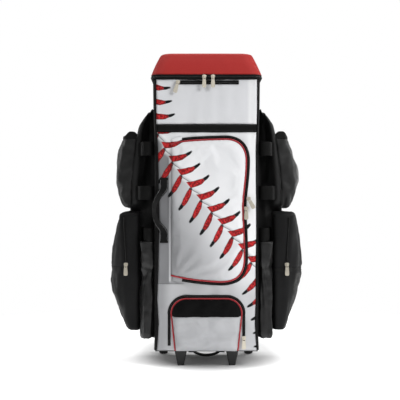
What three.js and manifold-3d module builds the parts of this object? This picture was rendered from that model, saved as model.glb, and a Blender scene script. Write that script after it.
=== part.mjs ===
// A rolling bat bag that stands upright: a tall padded tower with a moulded lid, printed front panels,
// two zipped front pockets, a side wing with bat loops, a bat cup and two pockets on each side,
// two front feet, two wheels, and a pull-out handle on the back.
// Millimetres, +Z up, the front faces -Y, and the origin is on the floor under the middle of the bag.
import * as THREE from "three";
import { mergeVertices } from "three/addons/utils/BufferGeometryUtils.js";
import Module from "manifold-3d";

const wasm = await Module();
wasm.setup();

// Driving dimensions
const gap = 0.3; // clearance that touching pieces keep
const floorClearance = 47.7; // floor to the underside of the tower
const towerWidth = 300;
const towerDepth = 225;
const towerHeight = 763;
const towerFrontY = -125; // front plane of the printed panels
const paddedWall = 3; // body fabric with its foam
const panelWall = 2; // printed front panels
const pocketWall = 1.8;
const webbing = 2;
const frontCorner = 12; // plan radius of the tower's front corners
const backCorner = 8;
const frontCrown = 6; // how far the soft front swells at its middle
const flangeWidth = 18; // black return of the side wall behind each panel edge
const bandHeight = 22;
const bandRise = 1; // the band stands proud of the panels
const bandDrop = 126; // tower rim down to the band's top
const edgePipingRadius = 2.2;
const topZipHeight = 14;
const lidHeight = 64.5;
const lidWall = 3;
const zipTape = 8; // visible width of a pocket's zip
const zipThickness = 1.5;
const pipingRadius = 2.4; // red welt round the pockets

const frontPocket = { left: -100, right: 111.6, bottom: 242, top: 642.4, bulge: 17, pulls: [0.582, 0.514] };
const lowerPocket = { halfWidth: 99, footHalfWidth: 88, top: 194, corner: 42, bulge: 27, seam: 144.5 };
const lowerZipHalfWidth = 109;
const upperZip = { left: -80, right: 91, height: 11.5 };

const wingWidest = 72; // how far the wing stands out of the tower's side
const wingTop = 745;
const wingBottom = 96;
const wingGroove = -30; // front of the wing beside the tower, behind the bats
const wingBand = -68; // front of the wing's padded outer edge
const batLoopHeight = 39;
const batLoopCentres = [617, 492, 372.7];
const cupFrontY = -114;
const cupBottom = 78;
const cupWidth = 45;

const bottlePocket = { front: -62, back: 64, bottom: 452, top: 648, reach: 52, hem: 10 };
const sidePocket = { front: -80, back: 86, bottom: 98, top: 432, reach: 134, seatRise: 8 };

const grabHandle = { inset: 30.5, bottom: 351, top: 534, width: 23, rise: 24, sweep: 26, endTab: 36 };
const baseHandle = { halfSpan: 37, width: 32, y: -98, drop: 12, thickness: 3.5, endTab: 14 };

const basePlate = 3;
const foot = { x: 73, top: [35, 46], bottom: [18.6, 22], y: -88, lean: 7 };
const wheel = { radius: 42, width: 26, behind: 15, bore: 4.6, hubRadius: 31, clearance: 3 };
const cheek = 3; // side plates of the wheel housing
const axleRadius = 4;

const tube = { x: 62, width: 24, depth: 15, wall: 1.5, bottom: 50, top: 792 };
const tubeStandOff = 3.6;
const slideFit = 0.6; // clearance all round the sliding tube
const handleTube = { bottom: 100 };
const bezelHeight = 22;
const grip = { halfWidth: 80, height: 27, depth: 23, lift: 0.6 };
const button = { halfWidth: 13, depth: 9, rise: 2, deep: 9 };

const slider = { width: 10, length: 11, rise: 6 };
const pullTab = { length: 29, neck: 8, foot: 13, thickness: 2.2 };

// Sizes that follow from those above
const rimZ = floorClearance + towerHeight;
const towerBackY = towerFrontY + towerDepth;
const wheelY = towerBackY + wheel.behind;
const flangeY = towerFrontY + panelWall + gap; // front face of the black return
const bandTop = rimZ - bandDrop;
const bandBottom = bandTop - bandHeight;
const lidZ = rimZ + topZipHeight + 2 * gap;
const plateTop = floorClearance - gap;
const plateBottom = plateTop - basePlate;

// Half width of the tower, as a share of the named one, at shares of its height
const towerSections = [
  { up: 0, wide: 0.99 },
  { up: 0.045, wide: 0.98 },
  { up: 0.75, wide: 0.98 },
  { up: 0.9, wide: 1.003 },
  { up: 1, wide: 1.01 },
];

// Where the printed panel's soft edges run, in from the tower's sides
const panelEdges = [
  { up: 0, left: 8.5, right: 7 },
  { up: 0.1, left: 12.5, right: 11 },
  { up: 0.19, left: 8.5, right: 8.5 },
  { up: 0.3, left: 11.5, right: 9 },
  { up: 0.42, left: 13.5, right: 7 },
  { up: 0.55, left: 13.5, right: 7.5 },
  { up: 0.72, left: 11, right: 8.5 },
  { up: 0.84, left: 8, right: 7.5 },
  { up: 1, left: 10, right: 9 },
];

// The lid: half width, front and back set in from the tower's, as shares of the tower's sizes
const lidSections = [
  { up: 0, wide: 1.052, front: 0.018, back: 0.004, corner: 36 },
  { up: 0.29, wide: 1.006, front: -0.022, back: -0.012, corner: 36 },
  { up: 0.57, wide: 0.957, front: -0.062, back: -0.03, corner: 36 },
  { up: 0.76, wide: 0.92, front: -0.092, back: -0.045, corner: 36 },
  { up: 0.92, wide: 0.888, front: -0.116, back: -0.06, corner: 35 },
  { up: 0.98, wide: 0.868, front: -0.13, back: -0.074, corner: 34 },
  { up: 1, wide: 0.828, front: -0.158, back: -0.1, corner: 32 },
];

// The wing: height as a share of its own, and how far out it stands as a share of its widest
const wingSections = [
  { up: 0, out: 0.88, band: 0 },
  { up: 0.04, out: 1.02, band: 0 },
  { up: 0.535, out: 1.03, band: 0 },
  { up: 0.56, out: 1.025, band: 0.9 },
  { up: 0.62, out: 1.0, band: 1 },
  { up: 0.69, out: 0.965, band: 1 },
  { up: 0.79, out: 0.845, band: 1 },
  { up: 0.88, out: 0.715, band: 1 },
  { up: 0.92, out: 0.59, band: 0.95 },
  { up: 0.955, out: 0.39, band: 0.85 },
  { up: 0.985, out: 0.17, band: 0.6 },
  { up: 1, out: 0.07, band: 0.45 },
];

// Bottle pockets: how far each stands out of the wing, bottom to top, as shares of their reach
const bottleSections = [
  { up: 0, left: 0.231, right: 0.269 },
  { up: 0.05, left: 0.442, right: 0.481 },
  { up: 0.17, left: 0.654, right: 0.712 },
  { up: 0.38, left: 0.846, right: 1 },
  { up: 0.62, left: 0.913, right: 1 },
  { up: 0.85, left: 0.913, right: 0.808 },
  { up: 1, left: 0.808, right: 0.692 },
];

// Zipped side pockets: how far each reaches from the tower's side, and where its front face ends, as shares
const sideSections = [
  { up: 0, left: 0.634, right: 0.619, edge: 0.537 },
  { up: 0.09, left: 0.724, right: 0.679, edge: 0.597 },
  { up: 0.2, left: 0.851, right: 0.791, edge: 0.642 },
  { up: 0.31, left: 0.948, right: 0.903, edge: 0.664 },
  { up: 0.43, left: 0.989, right: 0.978, edge: 0.679 },
  { up: 0.53, left: 0.996, right: 1.004, edge: 0.687 },
  { up: 0.62, left: 0.985, right: 1.004, edge: 0.694 },
  { up: 0.78, left: 0.925, right: 0.97, edge: 0.716 },
  { up: 0.9, left: 0.851, right: 0.918, edge: 0.739 },
  { up: 1, left: 0.776, right: 0.851, edge: 0.739 },
];

// The bat cup: height share, outer edge as a share of its width, and how far the front has sunk in
const cupSections = [
  { up: 0, wide: 0.9, sunk: 3, fold: 0 },
  { up: 0.05, wide: 0.99, sunk: 0, fold: 1 },
  { up: 0.22, wide: 0.94, sunk: 3, fold: 4 },
  { up: 0.45, wide: 0.9, sunk: 6, fold: 6 },
  { up: 0.66, wide: 0.84, sunk: 9, fold: 5 },
  { up: 0.72, wide: 0.9, sunk: 3, fold: 2 },
  { up: 0.9, wide: 0.93, sunk: 1, fold: 1 },
  { up: 1, wide: 0.94, sunk: 0, fold: 0 },
];

const lerp = THREE.MathUtils.lerp;
const clamp = THREE.MathUtils.clamp;
const at = (x, y, z) => new THREE.Vector3(x, y, z);

// Value of one column of a table at a share of its height
function column(table, name, up) {
  const last = table.length - 1;
  if (up <= table[0].up) return table[0][name];
  for (let i = 0; i < last; i++) {
    const [low, high] = [table[i], table[i + 1]];
    if (up <= high.up) return lerp(low[name], high[name], (up - low.up) / (high.up - low.up));
  }
  return table[last][name];
}

function towerHalfWidth(z) {
  return (towerWidth / 2) * column(towerSections, "wide", (z - floorClearance) / towerHeight);
}

// The printed panel's edge on one side
function panelEdge(side, z) {
  const inset = column(panelEdges, side < 0 ? "left" : "right", (z - floorClearance) / towerHeight);
  return side * (towerHalfWidth(z) - inset);
}

// The soft front swells gently: every piece of the front follows the same swell
function swell(x, z) {
  const across = clamp(x / (towerWidth / 2), -1, 1);
  const along = clamp((2 * (z - floorClearance)) / towerHeight - 1, -1, 1);
  return frontCrown * (1 - across ** 2) * (1 - along ** 4);
}

function onFront(p) {
  return at(p.x, p.y - swell(p.x, p.z), p.z);
}

// Closed body from rows of points, as triangles that face out
function body(points, triangles) {
  let volume = 0;
  for (const [a, b, c] of triangles) volume += points[a].dot(points[b].clone().cross(points[c]));
  const faces = volume < 0 ? triangles.map(([a, b, c]) => [a, c, b]) : triangles;
  const geometry = new THREE.BufferGeometry();
  geometry.setAttribute("position", new THREE.Float32BufferAttribute(points.flatMap((p) => p.toArray()), 3));
  geometry.setIndex(faces.flat());
  return geometry;
}

// Rings of equal length joined one to the next; the ends are capped, or joined when closed
function loft(rings, closed = false) {
  const count = rings[0].length;
  const points = rings.flat();
  const triangles = [];
  const pairs = closed ? rings.length : rings.length - 1;
  for (let r = 0; r < pairs; r++) {
    const [low, high] = [r * count, ((r + 1) % rings.length) * count];
    for (let i = 0; i < count; i++) {
      const j = (i + 1) % count;
      triangles.push([low + i, low + j, high + j], [low + i, high + j, high + i]);
    }
  }
  if (!closed) {
    for (const [ring, start] of [[rings[0], 0], [rings.at(-1), (rings.length - 1) * count]]) {
      const middle = ring.reduce((sum, p) => sum.add(p), at(0, 0, 0)).divideScalar(count);
      const centre = points.push(middle) - 1;
      for (let i = 0; i < count; i++) {
        const [a, b] = [start + i, start + ((i + 1) % count)];
        triangles.push(start === 0 ? [centre, b, a] : [centre, a, b]);
      }
    }
  }
  return body(points, triangles);
}

// A wall between two grids of points, closed along the grids' borders
function wallBetween(outer, inner) {
  const [rows, columns] = [outer.length, outer[0].length];
  const points = [...outer.flat(), ...inner.flat()];
  const back = rows * columns;
  const triangles = [];
  const quad = (a, b, c, d) => triangles.push([a, b, c], [a, c, d]);
  for (let r = 0; r < rows - 1; r++) {
    for (let c = 0; c < columns - 1; c++) {
      const i = r * columns + c;
      quad(i, i + 1, i + 1 + columns, i + columns);
      quad(back + i, back + i + columns, back + i + 1 + columns, back + i + 1);
    }
    const [first, last] = [r * columns, r * columns + columns - 1];
    quad(first, first + columns, back + first + columns, back + first);
    quad(last + columns, last, back + last, back + last + columns);
  }
  for (let c = 0; c < columns - 1; c++) {
    const end = (rows - 1) * columns + c;
    quad(c + 1, c, back + c, back + c + 1);
    quad(end, end + 1, back + end + 1, back + end);
  }
  return body(points, triangles);
}

// A plan outline with round corners, as points at one height
function planRing({ half, front, back, cornerFront, cornerBack }, z, steps = 5) {
  const corners = [
    [half - cornerBack, back - cornerBack, cornerBack, 0],
    [-half + cornerBack, back - cornerBack, cornerBack, 1],
    [-half + cornerFront, front + cornerFront, cornerFront, 2],
    [half - cornerFront, front + cornerFront, cornerFront, 3],
  ];
  return corners.flatMap(([x, y, radius, quarter]) =>
    Array.from({ length: steps + 1 }, (_, i) => {
      const angle = ((quarter + i / steps) * Math.PI) / 2;
      return at(x + radius * Math.cos(angle), y + radius * Math.sin(angle), z);
    }),
  );
}

// A strip or cord along a path on the front: its section is a list of [across, out] offsets
function sweepFront(path, section, base) {
  const rings = path.map((p, i) => {
    const [before, after] = [path[Math.max(i - 1, 0)], path[Math.min(i + 1, path.length - 1)]];
    const along = new THREE.Vector2(after[0] - before[0], after[1] - before[1]).normalize();
    return section.map(([across, out]) => {
      const [x, z] = [p[0] + across * along.y, p[1] - across * along.x];
      return onFront(at(x, base - out, z));
    });
  });
  return loft(rings);
}

// A flat strap: rectangles square to a path, each with its own direction of width
function strap(stations, width, thickness) {
  const rings = stations.map(({ point, across }, i) => {
    const before = stations[Math.max(i - 1, 0)].point;
    const after = stations[Math.min(i + 1, stations.length - 1)].point;
    const along = after.clone().sub(before).normalize();
    const side = across.clone().addScaledVector(along, -across.dot(along)).normalize();
    const out = along.clone().cross(side).normalize();
    return [[-1, -1], [1, -1], [1, 1], [-1, 1]].map(([s, t]) =>
      point.clone().addScaledVector(side, (s * width) / 2).addScaledVector(out, (t * thickness) / 2),
    );
  });
  return loft(rings);
}

const roundSection = (radius, sides) =>
  Array.from({ length: sides }, (_, i) => {
    const angle = (2 * Math.PI * (i + 0.5)) / sides;
    return [radius * Math.cos(angle), radius * (1 + Math.sin(angle))];
  });

const flatSection = (inner, outer, thickness) => [[inner, 0], [outer, 0], [outer, thickness], [inner, thickness]];

// Booleans
function solid(geometry) {
  const bare = geometry.index ? geometry.toNonIndexed() : geometry.clone();
  for (const name of Object.keys(bare.attributes)) if (name !== "position") bare.deleteAttribute(name);
  const merged = mergeVertices(bare, 1e-4);
  const made = { numProp: 3, vertProperties: merged.attributes.position.array, triVerts: merged.index.array };
  return new wasm.Manifold(new wasm.Mesh(made));
}

function geometryOf(made) {
  const mesh = made.getMesh();
  const geometry = new THREE.BufferGeometry();
  geometry.setAttribute("position", new THREE.BufferAttribute(mesh.vertProperties, 3));
  geometry.setIndex(new THREE.BufferAttribute(mesh.triVerts, 1));
  return geometry;
}

// A box given by its lowest and highest corners
function block(low, high) {
  const size = high.map((v, i) => v - low[i]);
  const middle = high.map((v, i) => (v + low[i]) / 2);
  return new THREE.BoxGeometry(...size).translate(...middle);
}

// A round bar along X
function barX(radius, x0, x1, y, z, sides = 16) {
  const bar = new THREE.CylinderGeometry(radius, radius, x1 - x0, sides).rotateZ(Math.PI / 2);
  return bar.translate((x0 + x1) / 2, y, z);
}

// Colours and finishes
const finish = (color, roughness, metalness = 0) => new THREE.MeshStandardMaterial({ color, roughness, metalness });
const blackFabric = finish(0x1c1c1c, 0.85);
const blackWebbing = finish(0x262624, 0.8);
const blackMesh = finish(0x2c2c2a, 0.9);
const whiteFabric = finish(0xd2d4d8, 0.7);
const redWelt = finish(0xb81a22, 0.6);
const redLid = finish(0xb3272b, 0.55);
const zipBlack = finish(0x121414, 0.7);
const nickel = finish(0xb9b09c, 0.35, 0.9);
const blackPlastic = finish(0x232323, 0.5);
const tyreRubber = finish(0x1a1a1a, 0.85);
const hubGrey = finish(0x4a4b4d, 0.5);
const aluminium = finish(0x9a9c9f, 0.35, 0.9);
const steel = finish(0x8c8e90, 0.3, 1);

const bag = new THREE.Group();
const handle = new THREE.Group();
bag.add(handle);

function add(name, geometry, material, parent = bag) {
  const mesh = new THREE.Mesh(geometry, material);
  mesh.name = name;
  parent.add(mesh);
  return mesh;
}

// Tower: black sides, back and bottom, open at the top and behind the front panels, notched over each wheel
const housing = {
  inner: towerWidth / 2 - 2 - 2 * cheek - wheel.width - 4,
  outer: towerWidth / 2 - 2,
  front: wheelY - wheel.radius - wheel.clearance - 6,
  top: wheel.radius * 2 + wheel.clearance + 5,
};

function towerRings(inset, bottom, top) {
  const heights = [bottom, ...towerSections.slice(1, -1).map((s) => floorClearance + s.up * towerHeight), top];
  return heights.map((z) => {
    const plan = { half: towerHalfWidth(z) - inset, front: flangeY + inset, back: towerBackY - inset };
    const corners = { cornerFront: frontCorner - inset, cornerBack: backCorner - inset };
    return planRing({ ...plan, ...corners }, z, 3);
  });
}

function notches(grow) {
  const past = towerWidth;
  return [-1, 1].map((side) => {
    const [near, far] = [side * (housing.inner - gap - grow), side * past];
    const low = [Math.min(near, far), housing.front - gap - grow, -past];
    return block(low, [Math.max(near, far), towerBackY + past, housing.top + gap + grow]);
  });
}

function towerShell() {
  let outer = solid(loft(towerRings(0, floorClearance, rimZ)));
  let inner = solid(loft(towerRings(paddedWall, floorClearance + paddedWall, rimZ + paddedWall)));
  for (const notch of notches(0)) outer = outer.subtract(solid(notch));
  for (const notch of notches(paddedWall)) inner = inner.subtract(solid(notch));
  const openHalf = towerWidth / 2 - flangeWidth - paddedWall;
  const low = [-openHalf, flangeY - paddedWall, floorClearance + flangeWidth];
  const opening = block(low, [openHalf, flangeY + 2 * paddedWall, rimZ + paddedWall]);
  return geometryOf(outer.subtract(inner).subtract(solid(opening)));
}

// Heights of the rows of a printed panel; the welt beside the panels bends at the same ones
const rowHeights = (bottom, top, rows) => Array.from({ length: rows + 1 }, (_, r) => lerp(bottom, top, r / rows));
const lowerHeights = rowHeights(floorClearance, bandBottom - gap, 9);
const bandHeights = rowHeights(bandBottom, bandTop, 1);
const upperHeights = rowHeights(bandTop + gap, rimZ - gap, 3);

// Printed panels and the band between them, as swelling sheets
function frontSheet(heights, rise) {
  const columns = 6;
  const grid = (y) =>
    heights.map((z) => {
      const [left, right] = [panelEdge(-1, z), panelEdge(1, z)];
      return Array.from({ length: columns + 1 }, (_, c) => onFront(at(lerp(left, right, c / columns), y, z)));
    });
  return wallBetween(grid(towerFrontY - rise), grid(towerFrontY + panelWall));
}

function edgePiping(side) {
  const heights = [...lowerHeights, ...upperHeights];
  const beside = 1.5 * gap + edgePipingRadius * Math.cos(Math.PI / 6);
  const path = heights.map((z) => [panelEdge(side, z) + side * beside, z]);
  return sweepFront(path, roundSection(edgePipingRadius, 6), flangeY - gap);
}

// Zip band between the tower and the lid
function topZipBand() {
  const half = towerHalfWidth(rimZ);
  const ring = (grow, z) => {
    const plan = { half: half + grow, front: towerFrontY + 1 - grow, back: towerBackY - 2 + grow / 4 };
    return planRing({ ...plan, cornerFront: 30, cornerBack: 24 }, z, 3);
  };
  const [low, high] = [rimZ + gap, rimZ + gap + topZipHeight];
  const middle = (low + high) / 2;
  return loft([ring(2, low), ring(6, middle), ring(5, high), ring(1, high), ring(-2, low)], true);
}

// Moulded lid, hollow underneath
function lidShell() {
  const rings = (inset, lower) =>
    lidSections.map(({ up, wide, front, back, corner }) => {
      const plan = {
        half: (towerWidth / 2) * wide - inset,
        front: towerFrontY - front * towerDepth + inset,
        back: towerBackY + back * towerDepth - inset,
      };
      const radius = corner - inset;
      return planRing({ ...plan, cornerFront: radius, cornerBack: radius }, lidZ + up * lidHeight - lower * up, 3);
    });
  const outer = rings(0, 0);
  const inner = rings(lidWall, lidWall);
  return loft([...outer.reverse(), ...inner]);
}

// A pocket that swells out of the front: rings of its outline drawn in to the middle
function pillow(outline, middle, size, bulge, wall) {
  const steps = [1, 0.985, 0.93, 0.8, 0.52];
  const rise = (share) => (1 - share ** 4) ** 0.25;
  const rings = (inset, fall) =>
    steps.map((share, i) =>
      outline.map(([x, z]) => {
        const px = middle[0] + (x - middle[0]) * share * (1 - inset / size[0]);
        const pz = middle[1] + (z - middle[1]) * share * (1 - inset / size[1]);
        const out = i ? Math.max(bulge(px, pz) * rise(share) - fall, wall / 4) : 0;
        return onFront(at(px, towerFrontY - gap - out, pz));
      }),
    );
  return loft([...rings(0, 0).reverse(), ...rings(wall, wall)]);
}

// Front pocket outline: along the top, round two corners and a slight waist, and back along the bottom
function frontPocketOutline(inset, steps) {
  const { left, right, bottom, top } = frontPocket;
  const [width, height] = [right - left, top - bottom];
  const p = (u, v) => [left + inset + u * (width - 2 * inset), bottom + inset + v * (height - 2 * inset)];
  const shape = new THREE.Path();
  shape.moveTo(...p(0, 0.962));
  shape.bezierCurveTo(...p(0.12, 0.992), ...p(0.4, 0.995), ...p(0.72, 1));
  shape.bezierCurveTo(...p(0.93, 1), ...p(1, 0.93), ...p(1, 0.85));
  shape.bezierCurveTo(...p(1, 0.72), ...p(0.955, 0.62), ...p(0.955, 0.53));
  shape.bezierCurveTo(...p(0.955, 0.42), ...p(0.975, 0.33), ...p(0.975, 0.17));
  shape.bezierCurveTo(...p(0.975, 0.05), ...p(0.88, 0), ...p(0.66, 0));
  shape.bezierCurveTo(...p(0.4, 0.005), ...p(0.15, 0.025), ...p(0, 0.045));
  return shape.getSpacedPoints(steps).map((v) => [v.x, v.y]);
}

function frontPocketShell() {
  const outline = frontPocketOutline(pipingRadius + gap, 28);
  const { left, right, bottom, top, bulge } = frontPocket;
  const middle = [(left + right) / 2, (bottom + top) / 2];
  const size = [(right - left) / 2, (top - bottom) / 2];
  // fullest low down, and slacker near the hinge seam on the left
  const full = (x, z) => bulge * (1.06 - 0.12 * ((z - bottom) / (top - bottom)) - 0.1 * ((right - x) / (right - left)));
  return pillow(outline, middle, size, full, pocketWall);
}

// Lower pocket outline: sides that lean out from the foot, and a round top
function lowerPocketPath(grow, foot) {
  const { halfWidth, footHalfWidth, top, corner } = lowerPocket;
  const [reach, centreX, centreZ] = [corner + grow, halfWidth - corner, top - corner];
  const quarter = Array.from({ length: 7 }, (_, i) => {
    const angle = (Math.PI / 2) * (i / 6);
    return [centreX + reach * Math.cos(angle), centreZ + reach * Math.sin(angle)];
  });
  const sideRows = [0, 0.35, 0.7].map((t) => {
    const z = lerp(foot, centreZ, t);
    const lean = (z - floorClearance) / (centreZ - floorClearance);
    return [lerp(footHalfWidth, halfWidth, lean) + grow, z];
  });
  const rightHalf = [...sideRows, ...quarter, [centreX * 0.45, top + grow]];
  const leftHalf = rightHalf.map(([x, z]) => [-x, z]);
  return [...leftHalf, ...rightHalf.reverse()];
}

function lowerPocketShell() {
  const foot = floorClearance + gap;
  const outline = lowerPocketPath(-pipingRadius - gap, foot);
  const { halfWidth, top, bulge } = lowerPocket;
  const middle = [0, (foot + top) / 2];
  const size = [halfWidth, (top - foot) / 2];
  return solid(pillow(outline, middle, size, (x, z) => bulge * (1.04 - (0.2 * (z - foot)) / (top - foot)), pocketWall));
}

function above(z) {
  const far = towerWidth * 4;
  return solid(block([-far, -far, z], [far, far, z + far]));
}

// Zip beside the lower pocket: its outer edge stands straight while the welt leans in
function lowerZip() {
  const foot = floorClearance + 14;
  const inner = lowerPocketPath(pipingRadius + gap, foot);
  const outer = lowerPocketPath(pipingRadius + gap + zipTape, foot);
  const straight = lowerPocket.top - lowerPocket.corner;
  const base = towerFrontY - gap;
  const rings = inner.map(([x, z], i) => {
    const [ox, oz] = z < straight ? [Math.sign(x) * lowerZipHalfWidth, z] : outer[i];
    const corners = [[x, z, 0], [ox, oz, 0], [ox, oz, zipThickness], [x, z, zipThickness]];
    return corners.map(([px, pz, out]) => onFront(at(px, base - out, pz)));
  });
  return loft(rings);
}

// Wing: a padded shell on the tower's side, with a groove for the bats in front
function wingReach(z) {
  const up = (z - wingBottom) / (wingTop - wingBottom);
  return wingWidest * column(wingSections, "out", up);
}

const wingOuter = (z) => towerHalfWidth(z) + gap + wingReach(z);

function wingRow(z, side, thick, lower) {
  const up = (z - wingBottom) / (wingTop - wingBottom);
  const x0 = towerHalfWidth(z) + gap;
  const reach = wingReach(z) - thick * Math.min(1, wingReach(z) / (3 * thick + 1));
  const band = lerp(wingGroove, wingBand, column(wingSections, "band", up)) + thick;
  const groove = wingGroove + thick;
  const [backY, round] = [towerBackY - thick, Math.min(14, reach * 0.3)];
  const plan = [
    [0, groove],
    [reach * 0.3, groove],
    [reach * 0.5, lerp(groove, band, 0.45)],
    [reach * 0.68, lerp(groove, band, 0.92)],
    [reach * 0.84, band],
    [reach - round * 0.25, band + round * 0.3],
    [reach, band + round],
    [reach, backY - round],
    [reach - round * 0.3, backY - round * 0.3],
    [reach - round, backY],
    [0, backY],
  ];
  return plan.map(([out, y]) => at(side * (x0 + out), y, z + lower));
}

function wingShell(side) {
  const rows = (thick) =>
    wingSections.map(({ up }) => {
      const z = lerp(wingBottom, wingTop, up);
      const lower = thick * (up < 0.5 ? 1 - clamp(up / 0.12, 0, 1) : -clamp((up - 0.85) / 0.15, 0, 1));
      return wingRow(z, side, thick, lower);
    });
  return wallBetween(rows(0), rows(paddedWall));
}

// Front of the wing at a distance from the tower's side
function wingFrontAt(x, z) {
  const row = wingRow(z, 1, 0, 0);
  for (let i = 0; i < 6; i++) {
    if (x <= row[i + 1].x) return lerp(row[i].y, row[i + 1].y, clamp((x - row[i].x) / (row[i + 1].x - row[i].x), 0, 1));
  }
  return row[5].y;
}

// Webbing loop from the tower's side to the wing's front
function batLoop(side, centre) {
  const x0 = towerHalfWidth(centre) + gap + webbing / 2 + 0.6;
  const room = centre < sidePocket.top ? cupWidth - 12 : 47;
  const landing = towerHalfWidth(centre) + Math.min(wingReach(centre) * 0.66, room);
  const end = landing + 9;
  const seat = Math.min(wingFrontAt(landing, centre), wingFrontAt(end, centre)) - gap - webbing / 2 - 0.6;
  const front = towerFrontY + 14;
  const plan = [
    [x0, front + 30],
    [x0, front + 14],
    [x0 + 3, front + 4],
    [x0 + 10, front - 1],
    [lerp(x0, landing, 0.5), front - 2.5],
    [landing - 8, front + 1],
    [landing - 2, front + 9],
    [landing + 1.5, seat - 2],
    [end, seat],
  ];
  return strap(plan.map(([x, y]) => ({ point: at(side * x, y, centre), across: at(0, 0, 1) })), batLoopHeight, webbing);
}

// Bat cup: a slack fabric sleeve between the tower, the wing and the side pocket, open at the top
const cupTop = batLoopCentres[2] - batLoopHeight / 2 - gap;

function cupShell(side) {
  const corner = 12;
  const ring = (up, inset, z) => {
    const x0 = towerHalfWidth(z) + gap + 0.4 + inset;
    const x1 = towerHalfWidth(z) + cupWidth * column(cupSections, "wide", up) - inset;
    const [front, back] = [cupFrontY + column(cupSections, "sunk", up) + inset, wingGroove - 2 * gap - inset];
    const fold = column(cupSections, "fold", up);
    const plan = { half: (x1 - x0) / 2, front, back, cornerFront: corner - inset, cornerBack: 8 - inset };
    return planRing(plan, z, 2).map((p) => {
      const across = (2 * p.x) / (x1 - x0);
      const nearFront = clamp((back - p.y) / (back - front) - 0.5, 0, 1) * 2;
      const crease = fold * Math.sin(2.2 * across + 0.6) * nearFront;
      return at(side * (p.x + (x0 + x1) / 2), p.y + Math.max(crease, -1), p.z);
    });
  };
  const rows = (inset) => cupSections.map(({ up }) => ring(up, inset, lerp(cupBottom + inset, cupTop, up)));
  const [outer, inner] = [rows(0), rows(pocketWall)];
  return loft([...outer, ...inner.reverse()]);
}

// Heights of a piece on the wing: its own table's, and the wing's where it bends between them
function heightsOnWing(table, bottom, top) {
  const own = table.map(({ up }) => lerp(bottom, top, up));
  const bends = wingSections.map(({ up }) => lerp(wingBottom, wingTop, up));
  const between = bends.filter((z) => z > bottom && z < top && own.every((h) => Math.abs(h - z) > 5));
  return [...own, ...between].sort((a, b) => a - b);
}

// Mesh bottle pocket on the wing's side, open at the top
const sideName = (side) => (side < 0 ? "left" : "right");

function bottleRow(side, up, thick, z) {
  const { front, back, reach } = bottlePocket;
  const out = reach * column(bottleSections, sideName(side), up) - thick;
  const [y0, y1, x0] = [front + thick, back - thick, wingOuter(z) + gap];
  const plan = [
    [0, y0],
    [out * 0.66, y0],
    [out * 0.8, y0 + 7],
    [out * 0.95, lerp(y0, y1, 0.27)],
    [out, lerp(y0, y1, 0.5)],
    [out * 0.95, lerp(y0, y1, 0.73)],
    [out * 0.8, y1 - 7],
    [out * 0.6, y1],
    [0, y1],
  ];
  return plan.map(([x, y]) => at(side * (x0 + x), y, z));
}

function bottleShell(side) {
  const { bottom, top } = bottlePocket;
  const rows = (thick) => {
    const seat = bottom + thick;
    const floor = bottleRow(side, 0, thick, seat).map((p) => at(side * (wingOuter(p.z) + gap), p.y, p.z));
    const walls = heightsOnWing(bottleSections, bottom, top).map((z) => {
      const up = (z - bottom) / (top - bottom);
      return bottleRow(side, up, thick, Math.max(z, seat));
    });
    return [floor, ...walls];
  };
  return wallBetween(rows(0), rows(pocketWall));
}

function bottleHem(side) {
  const { top, hem } = bottlePocket;
  const rows = (thick) => [0, 0.5, 1].map((t) => bottleRow(side, 1, thick, top + gap + t * hem));
  return wallBetween(rows(-0.6), rows(pocketWall + 0.4));
}

// Zipped side pocket: it wraps the wing's front corner and swells to the side
const pocketInnerX = (z) => towerHalfWidth(z) + cupWidth + gap;

function sidePocketRow(side, thick, z) {
  const { front, back, bottom, top, reach } = sidePocket;
  const up = (z - bottom) / (top - bottom);
  const [tower, wing] = [towerHalfWidth(z), wingOuter(z) + gap];
  const outer = tower + reach * column(sideSections, sideName(side), up) - thick;
  const edge = tower + reach * column(sideSections, "edge", up) - thick;
  const [x0, y0, y1] = [pocketInnerX(z) + thick, front + thick, back - thick];
  const out = outer - wing;
  const plan = [
    [x0, wingGroove - gap],
    [x0, y0 + 5],
    [x0 + 4, y0],
    [edge - 3, y0],
    [edge + 2, y0 + 4],
    [lerp(edge, outer, 0.62), lerp(y0, y1, 0.14)],
    [outer - out * 0.06, lerp(y0, y1, 0.33)],
    [outer, lerp(y0, y1, 0.52)],
    [outer - out * 0.1, lerp(y0, y1, 0.73)],
    [outer - out * 0.42, lerp(y0, y1, 0.94)],
    [wing + out * 0.25, y1],
    [wing, y1],
  ];
  return plan.map(([x, y]) => at(side * x, y, z));
}

// The pocket's row drawn back onto the wing that carries it
function seatRow(side, thick, z, seatZ) {
  const wing = wingOuter(seatZ) + gap;
  return sidePocketRow(side, thick, z).map((p) => {
    const inFront = Math.abs(p.x) < wing;
    return at(inFront ? p.x : side * wing, inFront ? wingGroove - gap : Math.max(p.y, wingGroove - gap), seatZ);
  });
}

function sidePocketShell(side) {
  const { bottom, top, seatRise } = sidePocket;
  const rows = (thick) => {
    const [low, high] = [bottom + thick, top - thick];
    const walls = heightsOnWing(sideSections, bottom, top).map((z) => sidePocketRow(side, thick, clamp(z, low, high)));
    return [seatRow(side, thick, low, low), ...walls, seatRow(side, thick, high, high + seatRise)];
  };
  return wallBetween(rows(0), rows(pocketWall));
}

const sideEdge = (z) => {
  const up = (z - sidePocket.bottom) / (sidePocket.top - sidePocket.bottom);
  return towerHalfWidth(z) + sidePocket.reach * column(sideSections, "edge", up) - 5;
};

function sideZip(side) {
  const steps = 6;
  const rows = (lift) =>
    Array.from({ length: steps + 1 }, (_, i) => {
      const z = lerp(sidePocket.bottom, sidePocket.top, lerp(0.57, 0.97, i / steps));
      const y = sidePocket.front - gap - lift;
      return [at(side * (sideEdge(z) - zipTape), y, z), at(side * sideEdge(z), y, z)];
    });
  return wallBetween(rows(zipThickness), rows(0));
}

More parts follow.
